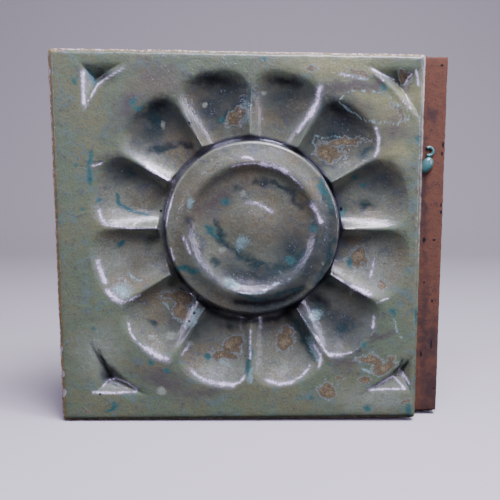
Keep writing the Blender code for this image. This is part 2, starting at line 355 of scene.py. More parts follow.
# The power of the dish's curve: the higher it is, the flatter is the dish's middle
DISH_CURVE = 4

# The first two shape a petal's outline, and the third how flat its floor is before the sides rise
SIDE_CURVE = 2.3
TIP_CURVE = 2.8
BOWL_CURVE = 1.4

# The glazed edge falls away by this much for each millimetre, from a bend this soft
ARRIS_SLOPE = 0.85
ARRIS_SOFTNESS = 0.0005

# Where the hook of glaze starts and how far it turns, in degrees, and how far the drop's foot leans over
HOOK_START = 125
HOOK_SWEEP = 250
DROP_LEAN = 0.45

# Vertices round the hook's run, steps along it, and the drop's columns and rows
HOOK_SIDES = 16
HOOK_STEPS = 36
DROP_COLUMNS = 36
DROP_ROWS = 24

# A pit's curved side gets at least this run to its deepest point
STEEPEST_PIT_SIDE = 1.0 * MM

# The lip along a pit lies this far outside it, as a share of the lip's width
BEAD_OFFSET = 0.8

# Each pit: which corner, its legs along the square, and its deepest point in from the corner
PITS = (
    {"side": -1, "level": 1, "legs": (0.0156, 0.0166), "deepest": (0.0052, 0.0062), "bead": False},
    {"side": 1, "level": 1, "legs": (0.0188, 0.0185), "deepest": (0.0070, 0.0072), "bead": True},
    {"side": -1, "level": -1, "legs": (0.0212, 0.0206), "deepest": (0.0084, 0.0056), "bead": False},
    {"side": 1, "level": -1, "legs": (0.0186, 0.0144), "deepest": (0.0050, 0.0104), "bead": False},
)


class Plan:
    """Places in the tile's frame, worked out from the sizes."""

    def __init__(self, slab, carving):
        self.face_width = slab.left_border + slab.frame_side + slab.right_border
        self.width = self.face_width + slab.ledge_reach
        self.height = slab.bottom_border + slab.frame_side + slab.top_border
        self.left = -self.width / 2
        self.right = self.width / 2
        self.bottom = -self.height / 2
        self.top = self.height / 2
        self.face_right = self.left + self.face_width
        self.face_middle = self.left + self.face_width / 2
        self.ledge_plane = -slab.bed_thickness
        self.face_plane = -slab.bed_thickness - slab.face_thickness
        middle = slab.frame_side / 2
        self.frame_centre = Vector(
            (self.left + slab.left_border + middle, self.bottom + slab.bottom_border + middle)
        )
        self.rosette = self.frame_centre + ROSETTE_SHIFT
        self.boss = self.rosette + BOSS_SHIFT
        self.groove_radius = carving.boss_radius + carving.groove_width

    def edge_distance(self, x, z, corner):
        """How far inside the face's outline a point lies, with its corners rounded."""
        beyond_x = np.abs(x - self.face_middle) - (self.face_width / 2 - corner)
        beyond_z = np.abs(z) - (self.height / 2 - corner)
        rounded = np.hypot(np.maximum(beyond_x, 0), np.maximum(beyond_z, 0))
        return corner - rounded - np.minimum(np.maximum(beyond_x, beyond_z), 0)


def soft_max(first, second, width):
    """The larger of two heights, rounded over this width where they meet."""
    return (first + second + np.sqrt((first - second) ** 2 + width**2)) / 2


def quarter_round(radius, distance):
    """How far a rounded edge has dropped at this distance from the side."""
    return radius - np.sqrt(np.maximum(0, radius**2 - np.maximum(0, radius - distance) ** 2))


def last_inside(test, low, high, count):
    """The largest radius that still passes a test in each of several directions, found by halving."""
    low = np.full(count, low)
    high = np.full(count, high)
    for _ in range(HALVINGS):
        middle = (low + high) / 2
        inside = test(middle)
        low = np.where(inside, middle, low)
        high = np.where(inside, high, middle)
    return low


def noise_at(points, name):
    """One kind of unevenness at each point, from about -1 to 1."""
    size, seed, octaves = UNEVENNESS[name]
    shift = Vector((seed, seed * 1.7, seed * 2.3))
    scaled = np.asarray(points) / size
    return np.array([noise.fractal(Vector(point) + shift, 1.0, 2.0, octaves) for point in scaled])


def petal_depth(slab, carving, radius, angle):
    """Depth of the scoops at a distance and a direction from the rosette's middle."""
    petal_angle = FULL_TURN / carving.petals
    axis = (np.floor(angle / petal_angle) + 0.5) * petal_angle
    along = radius * np.cos(angle - axis)
    half = along * math.tan(petal_angle / 2)
    from_ridge = half - np.abs(radius * np.sin(angle - axis))
    rounded = np.sqrt(from_ridge**2 + carving.ridge_rounding**2)
    side = (np.maximum(half - rounded, 0) / half) ** SIDE_CURVE
    reach = slab.frame_side / 2 - carving.petal_margin - carving.tip_drop * np.sin(axis)
    tip = np.maximum(0, 1 - (reach - along) / carving.tip_length) ** TIP_CURVE
    groove = carving.boss_radius + carving.groove_width
    outwards = np.clip((along - groove) / (reach - groove), 0, 1)
    floor = carving.petal_depth - carving.floor_rise * outwards
    return floor * (1 - (side + tip) ** BOWL_CURVE) + carving.crest_sink * (1 - tip)


def boss_height(carving, radius):
    """Height of the boss above the face, down its side too, at a distance from its own middle."""
    slope_length = np.where(radius < carving.ring_radius, carving.ring_climb, carving.ring_fall)
    ring = carving.ring_rise * np.exp(-(((radius - carving.ring_radius) / slope_length) ** 2))
    inside = np.maximum(0, 1 - (radius / carving.ring_radius) ** DISH_CURVE)
    dome = 0.5 * (1 + np.cos(math.pi * np.minimum(1, radius / carving.dome_radius)))
    top = carving.boss_height + ring - carving.dish_depth * inside + carving.dome_rise * dome
    wall_start = carving.boss_radius - carving.boss_draft
    top = top - quarter_round(carving.boss_rounding, np.maximum(0, wall_start - radius))
    wall_slope = (carving.boss_height + carving.groove_depth) / carving.boss_draft
    return top - wall_slope * np.maximum(0, radius - wall_start)


def pit_places(plan, slab, carving, pit, x, z):
    """Distances from the square's sides and past the pit's arc, and the arc's run to the deepest point."""
    corner = plan.frame_centre + Vector((pit["side"], pit["level"])) * slab.frame_side / 2
    legs = Vector(pit["legs"])
    to_side = (corner.x - x) * pit["side"]
    to_level = (corner.y - z) * pit["level"]
    chord = legs.length
    inwards = Vector((legs.y, legs.x)) / chord
    centre = legs / 2 + inwards * math.sqrt(carving.pit_arc**2 - (chord / 2) ** 2)
    past_arc = np.hypot(to_side - centre.x, to_level - centre.y) - carving.pit_arc
    before_chord = (1 - to_side / legs.x - to_level / legs.y) * legs.x * legs.y / chord
    run = max(STEEPEST_PIT_SIDE, (Vector(pit["deepest"]) - centre).length - carving.pit_arc)
    return to_side, to_level, np.minimum(past_arc, before_chord), run


def pit_depth(plan, slab, carving, pit, x, z):
    """Depth of a corner pit: three slopes that meet at its deepest point, negative outside the pit."""
    to_side, to_level, past_arc, run = pit_places(plan, slab, carving, pit, x, z)
    deepest = Vector(pit["deepest"])
    shares = np.stack((to_side / deepest.x, to_level / deepest.y, past_arc / run))
    return carving.pit_depth * shares.min(axis=0)


def bead_height(plan, slab, carving, pit, x, z):
    """Height of the rounded lip that the carver's thumb left along a pit's arc."""
    to_side, to_level, past_arc, _ = pit_places(plan, slab, carving, pit, x, z)
    from_crest = (past_arc + carving.bead_width * BEAD_OFFSET) / (carving.bead_width / 2)
    ends = np.clip(np.minimum(to_side, to_level) / carving.bead_width, 0, 1)
    return carving.bead_rise * np.exp(-(from_crest**2)) * ends


def carved_height(plan, slab, carving, x, z):
    """Height of the carved face above its plane, negative where it is cut in."""
    radius = np.hypot(x - plan.rosette.x, z - plan.rosette.y)
    angle = np.arctan2(z - plan.rosette.y, x - plan.rosette.x) % FULL_TURN
    petals = petal_depth(slab, carving, np.maximum(radius, carving.boss_radius), angle)
    groove = carving.groove_depth * np.clip((plan.groove_radius - radius) / carving.groove_wall, 0, 1)
    depth = soft_max(soft_max(petals, groove, carving.rim_softness), 0, carving.rim_softness)
    for pit in PITS:
        cut = pit_depth(plan, slab, carving, pit, x, z)
        depth = depth + soft_max(np.maximum(cut, -slab.face_thickness), 0, carving.rim_softness)
        if pit["bead"]:
            depth = depth - bead_height(plan, slab, carving, pit, x, z)
    boss = boss_height(carving, np.hypot(x - plan.boss.x, z - plan.boss.y))
    return soft_max(np.maximum(boss, -2 * slab.face_thickness), -depth, carving.rim_softness)


def ring_table(plan, slab, carving):
    """Radii of each outer ring, and how far its middle has moved from the boss's to the rosette's."""
    angles = np.arange(ROSETTE_COLUMNS) * FULL_TURN / ROSETTE_COLUMNS
    x_per_radius, z_per_radius = np.cos(angles), np.sin(angles)

    def in_petal(radius):
        return petal_depth(slab, carving, radius, angles) > 0

    def face_edge(inset):
        def on_face(radius):
            x = plan.rosette.x + radius * x_per_radius
            z = plan.rosette.y + radius * z_per_radius
            return plan.edge_distance(x, z, slab.corner_rounding) > inset

        return last_inside(on_face, 0, plan.width, ROSETTE_COLUMNS)

    wall_start = carving.boss_radius - carving.boss_draft
    shoulder = wall_start - carving.boss_rounding
    rings = []
    for turn in BOSS_RIM_STEPS:
        rings.append((shoulder + carving.boss_rounding * math.sin(math.radians(turn)), 0))
    for share in np.linspace(0, 1, BOSS_SIDE_RINGS):
        rings.append((wall_start + carving.boss_draft * share, 0))
    for share in GROOVE_RINGS:
        rings.append((carving.boss_radius + carving.groove_width * share, share))
    table = [(np.full(ROSETTE_COLUMNS, radius), moved) for radius, moved in rings]

    outline = last_inside(in_petal, plan.groove_radius, slab.frame_side, ROSETTE_COLUMNS)
    span = slab.frame_side / 2 - plan.groove_radius
    crowding = span / (outline - plan.groove_radius) - 1
    for share in np.linspace(0, 1, PETAL_RINGS + 1)[1:]:
        table.append((plan.groove_radius + span * share / (1 + crowding * share), 1))
    margin = face_edge(slab.face_arris * ARRIS_START)
    for share in np.linspace(0, 1, FACE_RINGS + 1)[1:] ** FACE_SPREAD:
        table.append((outline + (margin - outline) * share, 1))
    for share in ARRIS_RINGS:
        table.append((face_edge(slab.face_arris * share), 1))
    return table


def ring_sheet(bm, table, columns, start, end):
    """A sheet of rings: a grid bent round and joined to itself. The rings' middle moves from start to end."""
    last = len(table) - 1
    grid = bmesh.ops.create_grid(bm, x_segments=columns, y_segments=last, size=0.5)["verts"]
    for vert in grid:
        column = round((vert.co.x + 0.5) * columns) % columns
        radii, moved = table[round((vert.co.y + 0.5) * last)]
        middle = start.lerp(end, moved)
        angle = column * FULL_TURN / columns
        x = middle.x + radii[column] * math.cos(angle)
        z = middle.y + radii[column] * math.sin(angle)
        vert.co = (x, 0, z)
    bmesh.ops.remove_doubles(bm, verts=grid, dist=HAIR)


def cut_long_edges(bm, limit_at):
    """Halves the edges that are longer than the limit at their middle."""
    edges = list(bm.edges)
    ends = np.array([(edge.verts[0].co, edge.verts[1].co) for edge in edges])
    middles = ends.mean(axis=1)
    lengths = np.linalg.norm(ends[:, 1] - ends[:, 0], axis=1)
    too_long = lengths > limit_at(middles[:, 0], middles[:, 2])
    chosen = [edge for edge, cut in zip(edges, too_long) if cut]
    bmesh.ops.subdivide_edges(bm, edges=chosen, cuts=1, use_grid_fill=True)


def front_sheet(plan, slab, carving):
    """The front as one flat sheet of rings, finer where it is carved, before it gets its relief."""
    bm = bmesh.new()
    shoulder = carving.boss_radius - carving.boss_draft - carving.boss_rounding
    ring_sheet(bm, ring_table(plan, slab, carving), ROSETTE_COLUMNS, plan.boss, plan.rosette)
    gaps = []
    outside = shoulder
    for columns, rings, first, last in (
        (BOSS_COLUMNS, BOSS_RINGS, BOSS_SHEET_START, shoulder - SHOULDER_GAP),
        (MIDDLE_COLUMNS, MIDDLE_RINGS, MIDDLE_SHEET_START, MIDDLE_SHEET_END),
    ):
        table = [(np.full(columns, radius), 0) for radius in np.linspace(first, last, rings)]
        ring_sheet(bm, table, columns, plan.boss, plan.boss)
        gaps.append((last + outside) / 2)
        outside = first

    def boundary_near(radius):
        found = []
        for edge in bm.edges:
            distance = math.hypot(edge.verts[0].co.x - plan.boss.x, edge.verts[0].co.z - plan.boss.y)
            if edge.is_boundary and abs(distance - radius) < BRIDGE_REACH:
                found.append(edge)
        return found

    for radius in gaps:
        bmesh.ops.bridge_loops(bm, edges=boundary_near(radius))
    bmesh.ops.contextual_create(bm, geom=boundary_near(MIDDLE_SHEET_START))

    def limit_at(x, z):
        """The longest edge that is left at a place: short by the rim and in the pits."""
        near_rim = plan.edge_distance(x, z, slab.corner_rounding) < RIM_REACH
        depths = [pit_depth(plan, slab, carving, pit, x, z) for pit in PITS]
        in_pit = np.max(depths, axis=0) > -PIT_SLACK
        return np.where(in_pit, PIT_EDGE, np.where(near_rim, RIM_EDGE, FACE_EDGE))

    for _ in range(CUTTING_ROUNDS):
        cut_long_edges(bm, limit_at)
    return bm


def press_relief(plan, slab, carving, bm):
    """Gives the flat front sheet its carving, its rounded edge and the unevenness of hand pressing."""
    flat = np.array([vert.co for vert in bm.verts])
    x, z = flat[:, 0], flat[:, 2]
    height = carved_height(plan, slab, carving, x, z)
    to_edge = plan.edge_distance(x, z, slab.corner_rounding)
    swell = noise_at(flat, "swell") + RIPPLE_SHARE * noise_at(flat, "ripple")
    height = height + slab.undulation * swell * np.clip(to_edge / slab.face_arris - 0.5, 0, 1)
    height = height - soft_max(ARRIS_SLOPE * (slab.face_arris - to_edge), 0, ARRIS_SOFTNESS)
    for vert, forward in zip(bm.verts, height):
        vert.co.y = plan.face_plane - forward


def pull_edges(bm, edges, place):
    """Extrudes a chain of edges, moves each new vertex with place, and returns the new chain."""
    made = bmesh.ops.extrude_edge_only(bm, edges=edges)["geom"]
    new = {part for part in made if isinstance(part, bmesh.types.BMVert)}
    for vert in new:
        vert.co = place(vert.co)
    return [part for part in made if isinstance(part, bmesh.types.BMEdge) and set(part.verts) <= new]


def square_foot(plan, slab, verts):
    """Moves the foot of the face's wall out to square corners, with close rows by the ledge's round edge."""
    for vert in verts:
        across = (vert.co.x - plan.face_middle) / (plan.face_width / 2)
        up = vert.co.z / (plan.height / 2)
        stretch = 1 / max(abs(across), abs(up))
        vert.co.x = plan.face_middle + (vert.co.x - plan.face_middle) * stretch
        vert.co.z *= stretch
    right_side = [vert for vert in verts if vert.co.x > plan.face_right - HAIR]
    right_side.sort(key=lambda vert: vert.co.z)
    for row, turn in enumerate((*reversed(ROUND_STEPS), 0)):
        inset = slab.ledge_arris * (1 - math.sin(math.radians(turn)))
        right_side[row].co.z = plan.bottom + inset
        right_side[-1 - row].co.z = plan.top - inset


def close_body(plan, slab, bm):
    """Draws the front sheet's edge back down the sides, out over the ledge, and on to the back."""
    chain = [edge for edge in bm.edges if edge.is_boundary]
    for depth in np.linspace(plan.face_plane + slab.face_arris, plan.ledge_plane, WALL_ROWS + 1)[1:]:
        chain = pull_edges(bm, chain, lambda co: (co.x, depth, co.z))
    square_foot(plan, slab, {vert for edge in chain for vert in edge.verts})

    flat_reach = slab.ledge_reach - slab.ledge_arris
    rows = list(np.linspace(0, flat_reach, LEDGE_ROWS + 1)[1:])
    rows += [flat_reach + slab.ledge_arris * math.sin(math.radians(turn)) for turn in ROUND_STEPS]
    outer = [edge for edge in chain if all(vert.co.x > plan.face_right - HAIR for vert in edge.verts)]
    for reach in rows:
        outer = pull_edges(bm, outer, lambda co: (plan.face_right + reach, co.y, co.z))
    for vert in bm.verts:
        if vert.co.x > plan.face_right - HAIR and vert.co.y > plan.ledge_plane - HAIR:
            to_edge = min(plan.right - vert.co.x, plan.top - abs(vert.co.z))
            vert.co.y = plan.ledge_plane + quarter_round(slab.ledge_arris, to_edge)

    chain = [edge for edge in bm.edges if edge.is_boundary]
    for depth in np.linspace(plan.ledge_plane + slab.ledge_arris, -slab.ledge_arris, BED_ROWS):
        chain = pull_edges(bm, chain, lambda co: (co.x, depth, co.z))
    for turn in ROUND_STEPS:
        inset = slab.ledge_arris * (1 - math.cos(math.radians(turn)))
        depth = -slab.ledge_arris * (1 - math.sin(math.radians(turn)))
        low = Vector((plan.left + inset, depth, plan.bottom + inset))
        high = Vector((plan.right - inset, depth, plan.top - inset))
        chain = pull_edges(bm, chain, lambda co: [min(max(c, a), b) for c, a, b in zip(co, low, high)])
    add_back(plan, slab, bm, chain)
    bmesh.ops.recalc_face_normals(bm, faces=bm.faces)


def add_back(plan, slab, bm, chain):
    """The back as a grid with keying grooves, bridged to the sides."""
    grid = bmesh.ops.create_grid(bm, x_segments=BACK_COLUMNS, y_segments=BACK_ROWS, size=0.5)["verts"]
    pitch = (plan.height - 2 * slab.key_margin) / slab.key_grooves
    half_run = plan.width / 2 - slab.key_margin
    for vert in grid:
        x = vert.co.x * (plan.width - 2 * BACK_MARGIN)
        z = vert.co.y * (plan.height - 2 * BACK_MARGIN)
        nearest = min(max(round((z - plan.bottom - slab.key_margin) / pitch - 0.5), 0), slab.key_grooves - 1)
        middle = plan.bottom + slab.key_margin + pitch * (nearest + 0.5)
        into = min(slab.key_width / 2 - abs(z - middle), half_run - abs(x))
        vert.co = (x, -min(max(into, 0), slab.key_depth), z)
    old = set(chain)
    rim = [edge for edge in bm.edges if edge.is_boundary and edge not in old]
    bmesh.ops.bridge_loops(bm, edges=chain + rim)


def stray(plan, x, z):
    """How far clay at this place lies from the true rectangle, sideways and upwards."""
    across = ((x - plan.left) / plan.width)[:, None]
    up = ((z - plan.bottom) / plan.height)[:, None]
    low = np.array(STRAY_BOTTOM_LEFT) * (1 - across) + np.array(STRAY_BOTTOM_RIGHT) * across
    high = np.array(STRAY_TOP_LEFT) * (1 - across) + np.array(STRAY_TOP_RIGHT) * across
    return low * (1 - up) + high * up


def roughen_edges(plan, slab, points):
    """Lets the cut edges wander and chip, always inwards, and the whole outline stray from true."""
    x, y, z = points.T
    right = np.where(y > plan.ledge_plane - HAIR, plan.right, plan.face_right)
    distances = {"left": x - plan.left, "right": right - x, "bottom": z - plan.bottom, "top": plan.top - z}
    near = np.minimum.reduce(list(distances.values())) < WANDER_REACH
    slow = WANDER_SHARE * noise_at(points[near], "wander")
    quick = CHIPPING_SHARE * noise_at(points[near], "chipping")
    wander = np.zeros(len(points))
    wander[near] = slab.edge_wander * (WANDER_INSET + slow + quick)
    inwards = {}
    for side, distance in distances.items():
        inwards[side] = SIDE_WANDER[side] * wander * np.exp(-((distance / WANDER_FADE) ** 2))
    moved = points.copy()
    moved[:, 0] += inwards["left"] - inwards["right"]
    moved[:, 2] += inwards["bottom"] - inwards["top"]
    moved[:, (0, 2)] += stray(plan, x, z)
    return moved


def seen_at(points):
    """The pixel of the photograph where each point of the tile is seen."""
    cos, sin = math.cos(CAMERA_PITCH), math.sin(CAMERA_PITCH)
    x, y, z = (points - np.array(CAMERA_PLACE)).T
    away = y * cos - z * sin
    up = y * sin + z * cos
    pixels = LENS_MM / SENSOR_MM * PHOTO_SIDE
    return PHOTO_SIDE / 2 + pixels * x / away, PHOTO_SIDE / 2 - pixels * up / away


def spots(places, px, py):
    """How far inside the nearest oval spot a pixel lies: 1 in its middle, 0.5 at its edge, less outside."""
    field = np.zeros(len(px))
    for x, y, half_wide, half_high, turn in places:
        cos, sin = math.cos(math.radians(turn)), math.sin(math.radians(turn))
        across = ((px - x) * cos + (py - y) * sin) / half_wide
        down = ((py - y) * cos - (px - x) * sin) / half_high
        field = np.maximum(field, 1 - 0.5 * np.hypot(across, down))
    return field


def strokes(paths, px, py):
    """How near a pixel lies to the nearest stroke: 1 on its line, 0.5 at its edge, less outside."""
    field = np.zeros(len(px))
    for half_wide, *places in paths:
        for start, end in zip(places, places[1:]):
            run = np.subtract(end, start)
            share = ((px - start[0]) * run[0] + (py - start[1]) * run[1]) / (run @ run)
            share = np.clip(share, 0, 1)
            away = np.hypot(px - start[0] - share * run[0], py - start[1] - share * run[1])
            field = np.maximum(field, 1 - 0.5 * away / half_wide)
    return field


# How far a mark's outline wanders from its oval or its stroke, in pixels: the marks named here, and the rest
MARK_WANDER = {
    "rim": 0.0,
    "pinhole": 0.0,
    "ink": 1.0,
    "pale": 1.2,
    "turquoise": 2.0,
    "milky": 2.0,
    "teal": 4.0,
}
OTHER_WANDER = 5.0

# Runs and outlines in the glaze, and painted highlights and painted shade, as seen in the photograph: half
# width and then points, in pixels
STROKES = {
    # The rim strokes are painted highlights on the petal tips, the ridges, the pits' edges and the boss.
    "rim": (
        (1.6, (191, 369), (196, 375), (203, 379)),
        (3.0, (203, 379), (212, 382), (222, 384), (232, 385)),
        (1.4, (232, 385), (240, 382), (245, 376)),
        (2.2, (267, 380), (280, 384), (292, 382)),
        (1.4, (292, 382), (303, 375), (310, 366)),
        (1.8, (314, 345), (321, 356), (319, 367)),
        (1.2, (128, 322), (130, 332), (136, 341), (143, 347)),
        (3.2, (146, 348), (152, 353), (160, 357), (168, 359)),
        (1.0, (316, 336), (323, 348), (328, 355)),
        (2.2, (330, 355), (341, 355)),
        (1.0, (341, 355), (352, 352)),
        (1.2, (336, 277), (344, 282), (350, 286)),
        (2.8, (352, 287), (361, 290), (370, 295)),
        (0.8, (377, 303), (383, 300), (389, 298)),
        (1.6, (374, 316), (373, 327)),
        (1.4, (370, 278), (373, 266), (374, 258)),
        (2.8, (98, 262), (101, 272), (105, 281)),
        (3.0, (108, 291), (113, 297), (121, 302)),
        (1.2, (122, 303), (132, 299), (140, 295)),
        (1.8, (376, 128), (379, 139), (378, 150), (375, 156)),
        (3.0, (320, 88), (317, 103), (310, 115)),
        (1.6, (310, 115), (304, 123), (298, 132)),
        (2.4, (147, 167), (158, 174), (172, 181)),
        (1.4, (182, 354), (186, 350), (189, 344)),
        (1.0, (232, 167), (245, 164), (260, 164)),
        (2.6, (262, 164), (276, 167), (287, 172)),
        (1.2, (287, 172), (297, 182), (303, 189)),
        (1.2, (243, 158), (248, 157), (254, 160)),
        (2.4, (312, 205), (317, 213), (321, 222)),
        (1.4, (183, 237), (187, 245), (190, 253)),
        (0.9, (171, 248), (172, 254), (174, 260)),
        (1.4, (247, 203), (257, 203), (264, 207), (272, 212)),
        (1.0, (232, 289), (245, 293), (260, 292), (276, 285)),
        (1.2, (250, 330), (250, 345), (250, 358)),
        (1.2, (103, 386), (108, 380), (116, 378), (128, 383), (137, 390)),
        (1.4, (93, 392), (110, 393), (135, 392)),
        (1.2, (369, 390), (381, 383), (393, 376), (399, 382), (405, 389)),
        (1.2, (369, 390), (386, 389), (405, 389)),
        (1.6, (400, 369), (404, 376), (409, 383)),
        (1.2, (84, 109), (90, 98), (98, 84), (110, 76), (124, 67)),
        (2.0, (83, 72), (83, 86), (84, 104)),
        (1.4, (416, 71), (418, 79), (418, 85)),
        (1.0, (405, 84), (408, 78), (412, 74)),
        (1.1, (371, 68), (380, 73), (394, 80)),
        (1.0, (372, 69), (377, 75), (384, 81)),
        (1.4, (340, 74), (352, 76), (363, 78)),
        (1.0, (400, 97), (405, 104), (409, 109)),
        (1.0, (406, 95), (409, 102), (411, 108)),
        (0.9, (173, 197), (169, 210), (166, 226)),
        (0.9, (91, 166), (97, 165), (102, 163)),
        (2.2, (99, 210), (101, 218), (106, 224)),
        (0.9, (106, 225), (130, 228), (160, 229)),
    ),
    "turquoise": (
        (1.5, (117, 195), (119, 203), (126, 208), (136, 212), (148, 217)),
        (1.8, (206, 226), (211, 232), (217, 237)),
        (2.0, (176, 270), (184, 267), (195, 273)),
        (1.6, (250, 345), (249, 360), (245, 372)),
        (1.5, (392, 310), (396, 314), (393, 320)),
        (1.8, (107, 411), (113, 410), (115, 402)),
        (1.6, (320, 180), (328, 193), (331, 208)),
        (1.4, (88, 68), (93, 75), (97, 84)),
        (2.0, (92, 152), (89, 165), (90, 184)),
    ),
    "teal": (
        (1.0, (92, 161), (97, 160), (103, 162)),
        # This stroke round the dome's lower side is teal stain and painted shade, where that slope faces
        # down.
        (3.0, (216, 222), (220, 238), (232, 249), (243, 257), (257, 267), (270, 265)),
        (2.5, (323, 180), (326, 190), (324, 200)),
        (3.5, (296, 322), (304, 340), (314, 358)),
        (3.0, (222, 118), (234, 110), (246, 94)),
        (3.0, (333, 240), (330, 262), (318, 282)),
        (2.5, (240, 296), (270, 298), (300, 290)),
    ),
    "milky": (
        (1.0, (336, 70), (343, 74), (352, 76), (368, 79)),
        (1.0, (357, 360), (361, 368), (371, 373), (378, 369)),
        (1.1, (394, 320), (397, 330), (400, 337)),
        (0.9, (128, 272), (133, 279), (141, 281)),
        (0.9, (163, 302), (170, 311), (179, 320)),
        (0.9, (211, 354), (220, 361), (230, 366)),
        (0.8, (341, 98), (347, 92), (361, 91), (375, 90), (388, 95), (400, 106), (409, 117)),
        (0.8, (339, 101), (345, 108), (353, 112), (362, 119), (378, 123), (394, 123), (409, 120)),
        (0.8, (312, 143), (314, 136), (322, 139), (334, 135), (346, 140), (358, 143)),
        (0.8, (312, 143), (320, 154), (332, 160)),
        # This stroke on the boss's lower inner slope is a painted highlight.
        (1.0, (226, 286), (232, 289), (245, 293), (262, 292), (279, 284)),
    ),
    # Painted shade on the boss's inner slopes and in its dish.
    "slate": (
        (5.0, (189, 220), (192, 243), (202, 265), (216, 281)),
        (5.0, (315, 236), (309, 258), (298, 272)),
        (3.5, (255, 180), (275, 184), (290, 193), (303, 208)),
        (3.0, (150, 152), (162, 148), (178, 142), (190, 146)),
    ),
    # Painted shade below the boss, on the pits' shaded sides and beside a ridge.
    "ink": (
        (3.5, (192, 296), (208, 309), (228, 318), (250, 321), (275, 319), (300, 305)),
        (3.0, (236, 302), (262, 304), (285, 300), (303, 288)),
        (2.0, (180, 289), (193, 296)),
        (1.6, (99, 350), (104, 362), (113, 378)),
        (1.4, (403, 359), (399, 366), (394, 372)),
        (1.4, (331, 272), (345, 281), (366, 297)),
    ),
    "plum": (
        (1.6, (345, 93), (360, 91), (378, 90)),
        (5.0, (380, 84), (345, 86), (318, 92)),
        (1.4, (356, 345), (366, 338), (384, 332)),
    ),
}

